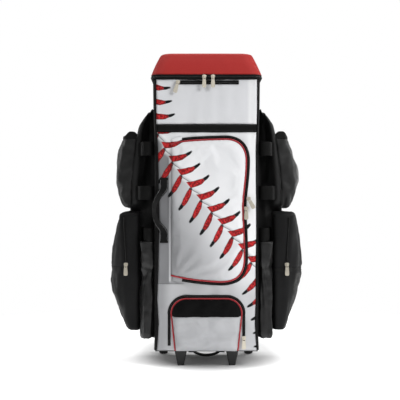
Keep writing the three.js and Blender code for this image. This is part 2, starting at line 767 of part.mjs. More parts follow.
// Carry handle sewn to the left of the front, swept out to the side
function grabStrap() {
  const { inset, bottom, top, width, rise, sweep, endTab } = grabHandle;
  const x = inset - towerWidth / 2;
  const steps = 14;
  const stations = Array.from({ length: steps + 1 }, (_, i) => {
    const z = lerp(bottom, top, i / steps);
    const free = clamp((z - bottom - endTab) / (top - bottom - 2 * endTab), 0, 1);
    const bow = Math.sin(Math.PI * free) ** 0.7;
    const turn = bow * 0.9;
    const y = towerFrontY - gap - webbing / 2 - 0.8 - rise * bow;
    const point = onFront(at(x - sweep * bow, y, z));
    return { point, across: at(Math.cos(turn), -Math.sin(turn), 0) };
  });
  return strap(stations, width, webbing);
}

// Carry handle slung under the base, between the feet
function baseStrap() {
  const { halfSpan, width, y, drop, thickness, endTab } = baseHandle;
  const seat = plateBottom - gap - thickness / 2;
  const bowed = Array.from({ length: 13 }, (_, i) => {
    const t = lerp(-1, 1, i / 12);
    return at(halfSpan * t, y, seat - drop * (1 - t * t) ** 0.8);
  });
  const path = [at(-halfSpan - endTab, y, seat), ...bowed, at(halfSpan + endTab, y, seat)];
  return strap(path.map((point) => ({ point, across: at(0, 1, 0) })), width, thickness);
}

// Feet, base tray with its wheel housings, wheels and axles
function footBlock(side) {
  const rows = [[foot.top, plateBottom - gap, 0], [foot.bottom, 0, foot.lean]];
  const rings = rows.map(([[w, d], z, lean]) => {
    const y = foot.y + lean;
    const plan = { half: w / 2, front: y - d / 2, back: y + d / 2, cornerFront: 3, cornerBack: 3 };
    return planRing(plan, z, 2).map((p) => at(p.x + side * foot.x, p.y, p.z));
  });
  return loft(rings);
}

function baseTray() {
  const half = towerHalfWidth(floorClearance) - 4;
  const low = [-half, towerFrontY + 6, plateBottom];
  let tray = solid(block(low, [half, towerBackY - 4, plateTop]));
  for (const side of [-1, 1]) {
    const xs = [side * housing.inner, side * housing.outer].sort((a, b) => a - b);
    const arch = block([xs[0], housing.front, plateBottom], [xs[1], towerBackY, housing.top]);
    const lobe = barX(wheel.radius * 0.52, xs[0], xs[1], wheelY, wheel.radius, 16);
    const lug = block([xs[0], towerBackY - 30, wheel.radius * 0.5], [xs[1], wheelY, wheel.radius * 1.5]);
    const well = barX(wheel.radius + wheel.clearance, xs[0] + cheek, xs[1] - cheek, wheelY, wheel.radius, 24);
    const bore = barX(axleRadius + gap, xs[0] - 1, xs[1] + 1, wheelY, wheel.radius);
    tray = tray.add(solid(arch)).add(solid(lobe)).add(solid(lug)).subtract(solid(well)).subtract(solid(bore));
  }
  return geometryOf(tray);
}

const wheelX = (housing.inner + housing.outer) / 2;

// A ring or disc turned about the wheel's axle, from [radius, x] pairs
function turned(profile, side) {
  const points = profile.map(([radius, x]) => new THREE.Vector2(radius, x));
  const made = new THREE.LatheGeometry([...points, points[0]], 18);
  return made.rotateZ(-Math.PI / 2).translate(side * wheelX, wheelY, wheel.radius);
}

function tyreRing(side) {
  const { radius, width, hubRadius } = wheel;
  const [half, inner] = [width / 2, hubRadius + gap];
  const outer = [[radius - 5, -half], [radius - 1, -half * 0.7], [radius, -half * 0.3], [radius, half * 0.3]];
  return turned([[inner, -half + 1], ...outer, [radius - 1, half * 0.7], [radius - 5, half], [inner, half - 1]], side);
}

function hubDisc(side) {
  const { width, hubRadius, bore } = wheel;
  const [rim, web, boss] = [width / 2 - 1, width * 0.2, width / 2 + 0.8];
  const face = (s) => [[hubRadius, s * rim], [hubRadius - 5, s * rim], [hubRadius - 7, s * web], [10, s * boss]];
  return turned([[bore, -boss], ...face(-1).reverse(), ...face(1), [bore, boss]], side);
}

// Trolley on the back: two fixed tubes, and a grip on two tubes that slide in them
const tubeY = towerBackY + tubeStandOff + tube.depth / 2;

function tubeRing(width, depth, x, z) {
  const plan = { half: width / 2, front: tubeY - depth / 2, back: tubeY + depth / 2, cornerFront: 3, cornerBack: 3 };
  return planRing(plan, z, 2).map((p) => at(p.x + x, p.y, p.z));
}

function fixedTube(side) {
  const { x, width, depth, wall, bottom, top } = tube;
  const ring = (inset, z) => tubeRing(width - 2 * inset, depth - 2 * inset, side * x, z);
  return loft([ring(0, bottom), ring(0, top), ring(wall, top), ring(wall, bottom + 4)]);
}

const slideInset = tube.wall + slideFit;
const gripBottom = tube.top + bezelHeight + grip.lift;
const gripY = tubeY + 1.5;

function slidingTube(side) {
  const ring = (z) => tubeRing(tube.width - 2 * slideInset, tube.depth - 2 * slideInset, side * tube.x, z);
  return loft([ring(handleTube.bottom), ring(gripBottom + grip.height * 0.6)]);
}

// Bezel: the plastic block that the tubes come out of, held to the back of the tower
function bezelBlock() {
  const half = tube.x + tube.width / 2 + 10;
  const plan = { half, front: towerBackY + gap, back: tubeY + tube.depth / 2 + 5, cornerFront: 3, cornerBack: 8 };
  let made = solid(loft([planRing(plan, tube.top - 18, 3), planRing(plan, tube.top + bezelHeight, 3)]));
  for (const side of [-1, 1]) {
    const socket = loft([-30, 0.001].map((drop) => tubeRing(tube.width + 2 * gap, tube.depth + 2 * gap, side * tube.x, tube.top + gap + drop)));
    const slot = loft([-1, bezelHeight + 5].map((up) =>
      tubeRing(tube.width - 2 * tube.wall, tube.depth - 2 * tube.wall, side * tube.x, tube.top + up),
    ));
    made = made.subtract(solid(socket)).subtract(solid(slot));
  }
  return geometryOf(made);
}

function gripBar() {
  const { halfWidth, height, depth } = grip;
  const ring = (share, up) => {
    const half = halfWidth * (0.9 + 0.1 * share);
    const deep = (depth / 2) * share;
    const plan = { half, front: gripY - deep, back: gripY + deep, cornerFront: deep * 0.6, cornerBack: deep * 0.6 };
    return planRing(plan, gripBottom + up * height, 3);
  };
  const shares = [[0.8, 0], [0.97, 0.16], [1, 0.45], [0.96, 0.8], [0.78, 1]];
  let made = solid(loft(shares.map(([share, up]) => ring(share, up))));
  for (const side of [-1, 1]) {
    const size = [tube.width - 2 * slideInset + 2 * gap, tube.depth - 2 * slideInset + 2 * gap];
    const heights = [gripBottom - 5, gripBottom + height * 0.6 + gap];
    made = made.subtract(solid(loft(heights.map((z) => tubeRing(...size, side * tube.x, z)))));
  }
  const top = gripBottom + height;
  const well = block(
    [-button.halfWidth - gap, gripY - button.depth / 2 - gap, top - button.deep - button.rise - gap],
    [button.halfWidth + gap, gripY + button.depth / 2 + gap, top + 5],
  );
  return geometryOf(made.subtract(solid(well)));
}

function buttonBlock() {
  const top = gripBottom + grip.height;
  const ring = (inset, z) => {
    const half = button.halfWidth - inset;
    const deep = button.depth / 2 - inset;
    return planRing({ half, front: gripY - deep, back: gripY + deep, cornerFront: 2, cornerBack: 2 }, z, 2);
  };
  return loft([ring(0, top - button.deep), ring(0, top + button.rise - 1), ring(1, top + button.rise)]);
}

// Zip slider with its pull tab hanging down, lying on a plane that faces the front
const tabY = -slider.rise - gap - pullTab.thickness / 2;

function zipPull(turn) {
  const { width, length, rise } = slider;
  const plate = block([-width / 2, -rise, -length / 2], [width / 2, 0, length / 2]);
  const bail = block([-1.8, tabY - pullTab.thickness, -length / 2 + 1], [1.8, -rise + 1, length / 2 - 2]);
  const { neck, foot: wide, length: long } = pullTab;
  const outline = new THREE.Shape();
  outline.moveTo(-neck / 2, 3);
  outline.lineTo(-neck / 2 + 1.5, 5);
  outline.lineTo(neck / 2 - 1.5, 5);
  outline.lineTo(neck / 2, 3);
  outline.lineTo(wide / 2, -long + 6);
  outline.lineTo(wide / 2 - 2.5, -long + 1);
  outline.lineTo(-wide / 2 + 2.5, -long + 1);
  outline.lineTo(-wide / 2, -long + 6);
  const tab = new THREE.ExtrudeGeometry(outline, { depth: pullTab.thickness, bevelEnabled: false });
  tab.rotateX(Math.PI / 2).translate(0, tabY + pullTab.thickness / 2, -4).rotateY(turn);
  return geometryOf(solid(plate).add(solid(bail)).add(solid(tab)));
}

function addPull(name, x, y, z, turn = 0) {
  const mesh = add(name, zipPull(turn), nickel);
  mesh.position.set(x, y, z);
  return mesh;
}

// Assembly
add("tower_shell", towerShell(), blackFabric);
add("front_panel_upper", frontSheet(upperHeights, 0), whiteFabric);
add("mid_band", frontSheet(bandHeights, bandRise), blackWebbing);
add("front_panel_lower", frontSheet(lowerHeights, 0), whiteFabric);
add("edge_piping_left", edgePiping(-1), blackWebbing);
add("edge_piping_right", edgePiping(1), blackWebbing);
add("top_zip", topZipBand(), zipBlack);
add("lid", lidShell(), redLid);

const seatY = towerFrontY - gap;
const upperZipTop = rimZ - 2;
const upperZipMiddle = upperZipTop - upperZip.height / 2;
const upperZipPath = Array.from({ length: 9 }, (_, i) => [lerp(upperZip.left, upperZip.right, i / 8), upperZipMiddle]);
const upperZipSection = flatSection(-upperZip.height / 2, upperZip.height / 2, zipThickness);
add("upper_zip", sweepFront(upperZipPath, upperZipSection, seatY), zipBlack);

add("front_pocket", frontPocketShell(), whiteFabric);
const pocketEdge = frontPocketOutline(0, 32);
add("front_pocket_piping", sweepFront(pocketEdge, roundSection(pipingRadius, 5), seatY), redWelt);
const zipStart = pipingRadius + gap;
const zipPath = pocketEdge.slice(1, -1);
const zipSection = flatSection(-zipStart - zipTape, -zipStart, zipThickness);
add("front_pocket_zip", sweepFront(zipPath, zipSection, seatY), zipBlack);

const lowerShell = lowerPocketShell();
const seamCut = above(lowerPocket.seam);
add("lower_pocket_yoke", geometryOf(lowerShell.intersect(above(lowerPocket.seam + gap))), blackFabric);
add("lower_pocket_panel", geometryOf(lowerShell.subtract(seamCut)), whiteFabric);
const lowerEdge = lowerPocketPath(0, floorClearance + gap);
add("lower_pocket_piping", sweepFront(lowerEdge, roundSection(pipingRadius, 5), seatY), redWelt);
add("lower_pocket_zip", lowerZip(), zipBlack);

for (const side of [-1, 1]) {
  const hand = sideName(side);
  add(`wing_${hand}`, wingShell(side), blackFabric);
  batLoopCentres.forEach((z, i) => add(`bat_loop_${hand}_${i + 1}`, batLoop(side, z), blackWebbing));
  add(`bat_cup_${hand}`, cupShell(side), blackFabric);
  add(`bottle_pocket_${hand}`, bottleShell(side), blackMesh);
  add(`bottle_hem_${hand}`, bottleHem(side), blackWebbing);
  add(`side_pocket_${hand}`, sidePocketShell(side), blackFabric);
  add(`side_zip_${hand}`, sideZip(side), zipBlack);
  add(`front_foot_${hand}`, footBlock(side), blackPlastic);
  add(`axle_${hand}`, barX(axleRadius, side * wheelX - 18, side * wheelX + 18, wheelY, wheel.radius), steel);
  add(`wheel_tyre_${hand}`, tyreRing(side), tyreRubber);
  add(`wheel_hub_${hand}`, hubDisc(side), hubGrey);
  add(`trolley_tube_${hand}`, fixedTube(side), aluminium);
  add(`handle_tube_${hand}`, slidingTube(side), aluminium, handle);
}

add("grab_handle", grabStrap(), blackWebbing);
add("base_handle", baseStrap(), blackWebbing);
add("base_tray", baseTray(), blackPlastic);
add("trolley_bezel", bezelBlock(), blackPlastic);
add("handle_grip", gripBar(), blackPlastic, handle);
add("handle_button", buttonBlock(), hubGrey, handle);

// Zip pulls, each seated on its own zip
const topPullY = towerFrontY - 5 - gap;
const pullZ = rimZ + gap + topZipHeight / 2;
addPull("zip_pull_top_left", -6.5, topPullY, pullZ);
addPull("zip_pull_top_right", 18, topPullY, pullZ);
const onZip = (x, z) => seatY - zipThickness - gap - swell(x, z) - 0.5;
const upperPullX = upperZip.left + slider.width / 2 - 1;
addPull("zip_pull_upper", upperPullX, onZip(upperPullX, upperZipMiddle), upperZipMiddle, 0.28);

const [upperPullZ, waistPullZ] = frontPocket.pulls.map((up) => lerp(frontPocket.bottom, frontPocket.top, up));
const toWaist = (p) => (p[0] > 0 ? Math.abs(p[1] - upperPullZ) : towerHeight);
const waist = pocketEdge.reduce((best, p) => (toWaist(p) < toWaist(best) ? p : best));
const pocketPullX = waist[0] + zipStart + zipTape / 2 + 2;
addPull("zip_pull_front_upper", pocketPullX, onZip(pocketPullX, upperPullZ), upperPullZ, -0.5);
addPull("zip_pull_front_lower", pocketPullX, onZip(pocketPullX, waistPullZ), waistPullZ);

const lowerPullZ = floorClearance + 36;
const lowerPullX = lowerZipHalfWidth - 4;
addPull("zip_pull_lower", lowerPullX, onZip(lowerPullX, lowerPullZ), lowerPullZ);

const sideUp = 0.565;
const sidePullZ = lerp(sidePocket.bottom, sidePocket.top, sideUp);
for (const side of [-1, 1]) {
  const y = sidePocket.front - 2 * gap - zipThickness;
  addPull(`zip_pull_side_${sideName(side)}`, side * (sideEdge(sidePullZ) - zipTape / 2), y, sidePullZ);
}

export default bag;
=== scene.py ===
import bmesh
import bpy
import numpy as np
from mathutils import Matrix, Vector, noise
from mathutils.bvhtree import BVHTree
from mathutils.geometry import delaunay_2d_cdt


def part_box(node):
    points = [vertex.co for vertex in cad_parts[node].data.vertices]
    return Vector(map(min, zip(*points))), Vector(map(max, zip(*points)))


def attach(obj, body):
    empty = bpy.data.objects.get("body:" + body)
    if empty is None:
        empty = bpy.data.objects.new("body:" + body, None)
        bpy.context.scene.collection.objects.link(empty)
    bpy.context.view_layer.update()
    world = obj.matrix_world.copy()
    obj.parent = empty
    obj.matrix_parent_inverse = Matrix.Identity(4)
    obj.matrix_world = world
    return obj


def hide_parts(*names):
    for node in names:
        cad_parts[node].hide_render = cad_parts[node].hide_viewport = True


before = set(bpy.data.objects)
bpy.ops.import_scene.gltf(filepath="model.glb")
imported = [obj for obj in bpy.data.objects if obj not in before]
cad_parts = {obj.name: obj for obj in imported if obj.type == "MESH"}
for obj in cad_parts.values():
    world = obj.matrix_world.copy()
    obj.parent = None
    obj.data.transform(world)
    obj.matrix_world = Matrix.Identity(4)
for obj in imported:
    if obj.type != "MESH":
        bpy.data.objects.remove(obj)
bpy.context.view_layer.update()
mm = 0.001

# Tower: the tall main compartment, black coated polyester on thin foam, sewn into a box that is open
# in front, where the printed panels close it, and at the zipped top. Its lower back corners step in
# over the wheels.
tower = {"bottom": 47.7, "rim": 810.7, "front": -122.7, "back": 100, "opening": 129, "corner": 12, "wall": 3}
wheel_notch = {"inner": 111.7, "front": 63.7, "top": 92.3}
inside_tower = (0, -10, 430)


def half_width(z):
    return np.interp(z, [47.7, 82, 620, 734.4, 810.7], [148.5, 147, 147, 150.5, 151.5])


def woven(rows, across, along, rounds=0, ring=False):
    """Rows of points drawn out into even, finer rows, with their kinks eased."""
    rows = np.array(rows, float)
    for axis, step in ((1, across), (0, along)):
        rows = np.moveaxis(rows, axis, 0)
        closed = ring and axis == 1
        if closed:
            rows = np.concatenate([rows, rows[:1]])
        gaps = np.linalg.norm(np.diff(rows, axis=0), axis=2).mean(axis=1)
        place = np.concatenate([[0], np.cumsum(gaps)])
        even = np.linspace(0, place[-1], max(round(place[-1] / step), 2) + 1)
        flat = rows.reshape(len(rows), -1)
        drawn = np.stack([np.interp(even, place, column) for column in flat.T], axis=1)
        rows = drawn.reshape(len(even), *rows.shape[1:])
        if closed:
            rows = rows[:-1]
        for _ in range(rounds):
            if closed:
                rows = (np.roll(rows, 1, 0) + 2 * rows + np.roll(rows, -1, 0)) / 4
            else:
                rows[1:-1] = (rows[:-2] + 2 * rows[1:-1] + rows[2:]) / 4
        rows = np.moveaxis(rows, 0, axis)
    return rows


def away(rows, inside, ring=False):
    """Unit directions square to the rows' surface, away from a point inside."""
    across = np.roll(rows, -1, 1) - np.roll(rows, 1, 1) if ring else np.gradient(rows, axis=1)
    square = np.cross(across, np.gradient(rows, axis=0))
    square /= np.maximum(np.linalg.norm(square, axis=2, keepdims=True), 1e-9)
    return square if (square * (rows - np.array(inside))).sum() > 0 else -square


def uneven(points, size, seed):
    """Smooth chance bumps between about -1 and 1; size is their length along x, y and z in mm."""
    spots = points.reshape(-1, 3) / np.array(size, float) + 17.3 * seed
    return np.array([noise.noise(Vector(spot)) for spot in spots]).reshape(points.shape[:-1])


def creased(points, size, seed):
    """Chance folds with a sharp crest, between about -1 and 1."""
    return 1 - 3.2 * np.abs(uneven(points, size, seed))


def placed(name, mesh):
    """A piece made of a mesh, set in the scene."""
    piece = bpy.data.objects.new(name, mesh)
    bpy.context.scene.collection.objects.link(piece)
    return piece


def finished(piece, material, node=None, body="bag"):
    """Gives a piece its material and slot, the node that it stands for, and the body that it rides on."""
    piece.data.materials.append(material)
    if node:
        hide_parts(node)
    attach(piece, body)


def skin(name, rows, inside, ring=False, closed=()):
    """A cloth skin through rows of points, facing away from inside, with the flat cloth as its UV map.

    closed lists the end rows, 0 or -1, that a ring is closed over.
    """
    tall, wide = rows.shape[:2]
    turn = np.concatenate([rows, rows[:, :1]], axis=1) if ring else rows
    u, v = np.zeros(turn.shape[:2]), np.zeros(turn.shape[:2])
    u[:, 1:] = np.linalg.norm(np.diff(turn, axis=1), axis=2).cumsum(axis=1)
    v[1:] = np.linalg.norm(np.diff(turn, axis=0), axis=2).cumsum(axis=0)
    u = u - u[:, -1:] / 2
    facing = (away(rows, inside, ring) * np.cross(np.gradient(rows, axis=1), np.gradient(rows, axis=0))).sum()
    faces = []
    laid = []
    for i in range(tall - 1):
        for j in range(turn.shape[1] - 1):
            corners = [(i, j), (i, j + 1), (i + 1, j + 1), (i + 1, j)]
            if facing < 0:
                corners.reverse()
            faces.append([row * wide + column % wide for row, column in corners])
            laid += [(u[c] * mm, v[c] * mm) for c in corners]
    for end in closed:
        corners = [(end % tall, j) for j in range(wide)]
        if (end == 0) == (facing >= 0):
            corners.reverse()
        faces.append([row * wide + column for row, column in corners])
        laid += [(u[c] * mm, v[c] * mm) for c in corners]
    mesh = bpy.data.meshes.new(name)
    mesh.from_pydata((rows.reshape(-1, 3) * mm).tolist(), [], faces)
    mesh.uv_layers.new(name="cloth").data.foreach_set("uv", np.array(laid).ravel())
    mesh.shade_smooth()
    return placed(name, mesh)


def cut_size(rows, ring=False):
    """The width and length that the flat cloth of a skin was cut to, in metres."""
    turn = np.concatenate([rows, rows[:, :1]], axis=1) if ring else rows
    width = np.linalg.norm(np.diff(turn, axis=1), axis=2).sum(axis=1).mean()
    length = np.linalg.norm(np.diff(rows, axis=0), axis=2).sum(axis=0).mean()
    return (round(width * mm, 3), round(length * mm, 3))


def with_wall(piece, thick):
    wall = piece.modifiers.new("wall", "SOLIDIFY")
    wall.thickness = thick * mm
    wall.offset = -1
    return piece


class Value:
    """A number in a finish. Sums on it are written as plain Python and become the finish's nodes."""

    def __init__(self, finish, socket):
        self.finish = finish
        self.socket = socket

    def sum(self, operation, *values):
        return self.finish.node("ShaderNodeMath", {"operation": operation}, values)

    def __add__(self, other):
        return self.sum("ADD", self, other)

    def __sub__(self, other):
        return self.sum("SUBTRACT", self, other)

    def __rsub__(self, other):
        return self.sum("SUBTRACT", other, self)

    def __mul__(self, other):
        return self.sum("MULTIPLY", self, other)

    def __truediv__(self, other):
        return self.sum("DIVIDE", self, other)

    def __rtruediv__(self, other):
        return self.sum("DIVIDE", other, self)

    def __pow__(self, other):
        return self.sum("POWER", self, other)

    def __abs__(self):
        return self.sum("ABSOLUTE", self)

    __radd__ = __add__
    __rmul__ = __mul__

    def between(self, low, high):
        """A soft step from 0 at low to 1 at high."""
        return self.finish.node("ShaderNodeMapRange", {"interpolation_type": "SMOOTHSTEP"}, [self, low, high])


class Finish:
    """A material: its shader, and its nodes, which are all made by one method."""

    def __init__(self, name, **constants):
        self.material = bpy.data.materials.new(name)
        self.material.use_nodes = True
        self.tree = self.material.node_tree
        self.shader = self.tree.nodes["Principled BSDF"]
        for socket, value in constants.items():
            self.shader.inputs[socket.replace("_", " ").title().replace("Ior", "IOR")].default_value = value

    def node(self, kind, settings=None, values=(), output=0):
        made = self.tree.nodes.new(kind)
        for name, value in (settings or {}).items():
            if name == "stops":
                ramp = made.color_ramp.elements
                while len(ramp) < len(value):
                    ramp.new(1)
                for element, (position, colour) in zip(ramp, value):
                    element.position = position
                    element.color = (*colour, 1)
            else:
                setattr(made, name, value)
        for key, value in values.items() if isinstance(values, dict) else enumerate(values):
            if isinstance(value, Value):
                self.tree.links.new(value.socket, made.inputs[key])
            else:
                made.inputs[key].default_value = value
        return Value(self, made.outputs[output])

    def place(self):
        """The point's x, y and z in mm."""
        spot = self.node("ShaderNodeTexCoord", output="Object")
        parts = [self.node("ShaderNodeSeparateXYZ", None, [spot], axis) for axis in range(3)]
        return [part * 1000 for part in parts]

    def laid(self):
        """The point's place on the flat cloth in mm, across and along."""
        spot = self.node("ShaderNodeUVMap", {"uv_map": "cloth"})
        return [self.node("ShaderNodeSeparateXYZ", None, [spot], axis) * 1000 for axis in range(2)]

    def cloudy(self, size, detail=2, seed=0):
        """Soft clouds from 0 to 1; size is their width in mm."""
        spot = self.node("ShaderNodeTexCoord", output="Object")
        values = {"Vector": spot, "W": seed, "Scale": 1000 / size, "Detail": detail}
        return self.node("ShaderNodeTexNoise", {"noise_dimensions": "4D"}, values)

    def mix(self, share, first, second):
        pair = [c if isinstance(c, Value) else (*c, 1) for c in (first, second)]
        return self.node("ShaderNodeMix", {"data_type": "RGBA"}, {0: share, 6: pair[0], 7: pair[1]}, 2)

    def set(self, socket, value):
        self.tree.links.new(value.socket, self.shader.inputs[socket])

    def raise_by(self, height, depth):
        """Bumps of the given depth in mm, where height runs from 0 to 1."""
        self.set("Normal", self.node("ShaderNodeBump", None, {"Height": height, "Distance": depth * mm}))


def weave(finish, pitch):
    """Threads over and under each other, 0 to 1, on the flat cloth."""
    u, v = finish.laid()
    turn = np.pi / pitch
    return u.sum("SINE", u * turn) * v.sum("SINE", v * turn) * 0.5 + 0.5


def black_cloth(name, shade=0.004, pitch=1.1, rough=0.72, gloss=0.14, depth=0.1):
    """Black polyester: a fine weave, with faint worn clouds in its colour and gloss."""
    finish = Finish(name, sheen_weight=0.03, sheen_roughness=0.4, specular_ior_level=gloss)
    threads = weave(finish, pitch)
    clouds = finish.cloudy(38, 3)
    grain = finish.cloudy(3.2, 1, 2)
    tone = clouds * 0.7 + grain * 0.5 + threads * 0.25
    dark = [shade * 0.72] * 2 + [shade * 0.74]
    light = [shade * 1.5] * 2 + [shade * 1.52]
    finish.set("Base Color", finish.mix(tone * 0.69, dark, light))
    finish.set("Roughness", rough - 0.12 * clouds + 0.06 * grain)
    wrinkles = finish.cloudy(24, 3, 11)
    finish.raise_by(threads * 0.6 + grain * 0.4 + wrinkles * 12, depth)
    return finish.material


def tower_row(z):
    half, corner = half_width(z), tower["corner"]
    turn = np.linspace(0, np.pi / 2, 5)
    front = [(half - corner * (1 - np.sin(a)), tower["front"] + corner * (1 - np.cos(a))) for a in turn]
    back = [(half - 8 * (1 - np.cos(a)), tower["back"] - 8 * (1 - np.sin(a))) for a in turn]
    behind = [(wheel_notch["inner"], tower["back"]), (0, tower["back"])]
    right = [(tower["opening"], tower["front"]), *front, *back, *behind]
    left = [(-x, y) for x, y in right[-2::-1]]
    return [(x, y, z) for x, y in right + left]


def around_the_wheel(rows):
    """Folds the lower back corners in, so that the cloth goes round the wheel housing."""
    notch = wheel_notch
    low = np.abs(rows[:, 0, 2] - notch["top"]).argmin()
    rows[low, :, 2] = notch["top"]
    rows[low + 1, :, 2] = notch["top"] + 0.2
    under = rows[: low + 1]
    half = half_width(under[..., 2])
    wide, deep = half - notch["inner"], tower["back"] - notch["front"]
    x, y = np.abs(under[..., 0]), under[..., 1].copy()
    corner = (x >= notch["inner"]) & (y >= notch["front"])
    folded_x = notch["inner"] + (tower["back"] - y) * wide / deep
    under[..., 0] = np.where(corner, folded_x, x) * np.sign(under[..., 0] + 1e-9)
    under[..., 1] = np.where(corner, notch["front"] + (half - x) * deep / wide, y)
    return rows


tower_rows = woven([tower_row(z) for z in (47.7, 82, 350, 620, 734.4, 810.7)], 6.5, 7)
free = np.clip((tower_rows[..., 2] - 100) / 60, 0, 1) * np.clip((808 - tower_rows[..., 2]) / 20, 0, 1)
free *= np.clip((tower_rows[..., 1] + 112) / 25, 0, 1)
sag = uneven(tower_rows, (90, 90, 120), 1) * 2.2 + uneven(tower_rows, (35, 35, 26), 2) * 0.8 - 0.8
tower_rows += away(tower_rows, inside_tower) * (free * sag)[..., None]
tower_shell = with_wall(skin("tower_body", around_the_wheel(tower_rows), inside_tower), tower["wall"])
tower_cloth = black_cloth("tower cloth")
finished(tower_shell, tower_cloth, "tower_shell")

floor_x, floor_y = np.meshgrid(np.arange(-146, 147, 7.3), np.arange(-118, 97, 7))
floor_rows = np.stack([floor_x, floor_y, np.full(floor_x.shape, tower["bottom"] + 0.6)], axis=2)
tower_floor = skin("tower_floor", floor_rows, (0, 0, 400))
shape = bmesh.new()
shape.from_mesh(tower_floor.data)
middles = {face: face.calc_center_median() for face in shape.faces}
over_wheel = [face for face, middle in middles.items() if abs(middle.x) > 0.107 and middle.y > 0.059]
bmesh.ops.delete(shape, geom=over_wheel, context="FACES")
shape.to_mesh(tower_floor.data)
shape.free()
with_wall(tower_floor, 2)
finished(tower_floor, tower_cloth)

# Front panels: one sheet of printed polyester in two lengths, smooth, white, with a lacing seam printed
# down it. Each is sewn to the tower's front strips along both sides, where the cloth puckers a little.
panel_front = -125.0
band_top, band_bottom = 684.7, 662.7
pressed_apart = 0.3


def swell(x, z):
    """How far the soft front stands out of its plane."""
    along = np.clip(2 * (z - tower["bottom"]) / 763 - 1, -1, 1)
    return 6 * (1 - np.clip(x / 150, -1, 1) ** 2) * (1 - along**4)


def panel_edge(side, z):
    heights = tower["bottom"] + 763 * np.array([0, 0.1, 0.19, 0.3, 0.42, 0.55, 0.72, 0.84, 1])
    left, right = [8.5, 12.5, 8.5, 11.5, 13.5, 13.5, 11, 8, 10], [7, 11, 8.5, 9, 7, 7.5, 8.5, 7.5, 9]
    return side * (half_width(z) - np.interp(z, heights, left if side < 0 else right))


def lacing(finish):
    """The printed lacing: its red, black and rims, and the seam's crease, bulges and shade, as shares."""
    x, _, z = finish.place()
    down = (x + 116.8) * 0.603 - (z - 613.8) * 0.797
    out = (x + 116.8) * 0.797 + (z - 613.8) * 0.603

    def seam(t):
        return ((10.83 - 1.609 * t) * t - 17.343) * t - 0.84

    def lean(t):
        return ((21.66 - 4.827 * t) * t - 17.343) * 0.01

    t = down * 0.01
    off, slope = out - seam(t), lean(t)
    foot = (down + off * slope / (1 + slope * slope)) * 0.01
    slope = lean(foot)
    longer = 1 / (1 + slope * slope) ** 0.5
    off, past = out - seam(foot), down - foot * 100
    far = (off - slope * past) * longer
    bend = foot * (3.008 + foot * (-3.757 + foot * (2.122 + foot * (-0.523 + foot * 0.0466))))
    run = foot * 100 + bend * 0.5 + (past + slope * off) * longer
    reach = abs(far)
    right = far.between(-1.2, 1.2)
    pitch = 44.9

    def stroke(start, rise, curve, half):
        line = (run - start - rise * reach + curve * reach * reach) / pitch
        beside = (line - line.sum("ROUND", line)) * pitch
        off_line = abs(beside) + (finish.cloudy(7, 3, 5) - 0.5) * 2.4
        return beside, 1 - off_line.between(half - 0.8, half + 0.8), off_line.between(half - 4, half - 1)

    wide = 10.4 - 1.4 * reach.between(4, 24) - 4 * reach.between(26, 47)
    above, red_right, rim_right = stroke(-15, 0.626, 0.00599, wide)
    red_right = red_right * (1 - reach.between(43, 49)) * reach.between(0, 2)
    tail_right = stroke(-15, 0.626, 0.00599, 4.8 - 2.2 * reach.between(50, 66))[1]
    tail_right = tail_right * reach.between(42, 46) * (1 - reach.between(61, 66))
    narrow = 5.8 + 2.4 * reach.between(2, 14) - 3 * reach.between(30, 50)
    under, red_left, rim_left = stroke(-1.5, 0.559, 0.003, narrow)
    red_left = red_left * (1 - reach.between(45, 51)) * reach.between(0, 2)
    tail_left = stroke(-1.5, 0.559, 0.003, 5 - 2.6 * reach.between(52, 68))[1]
    tail_left = tail_left * reach.between(44, 48) * (1 - reach.between(62, 67))
    red = red_right * right + red_left * (1 - right)
    tail = tail_right * right + tail_left * (1 - right)
    rim = rim_right * right + rim_left * (1 - right)
    across = above * right + under * (1 - right)
    hole = (run + 1.5) / pitch
    nearest = hole.sum("ROUND", hole)
    beside_hole = (hole - nearest) * pitch
    dots = (1 - (beside_hole * beside_hole + reach * reach * 2).between(6, 34)) * 0.9
    passed = hole - hole.sum("FLOOR", hole)
    edge = 8.5 * passed.sum("SINE", passed**1.5 * np.pi)
    over = far - edge + (finish.cloudy(30, 1, 3) - 0.5) * 2
    crease = (1 - abs(over).between(0.4, 1.9)) * (1 - 0.7 * passed.between(0.35, 0.9))
    bulge = over.between(-14, -3) * (1 - over.between(-0.8, 0.6))
    valley = over.between(-0.5, 1) * (1 - over.between(1.5, 10))
    black = (tail + dots).sum("MINIMUM", tail + dots, 1)
    return red, black, rim, crease, bulge, valley, over, across, far


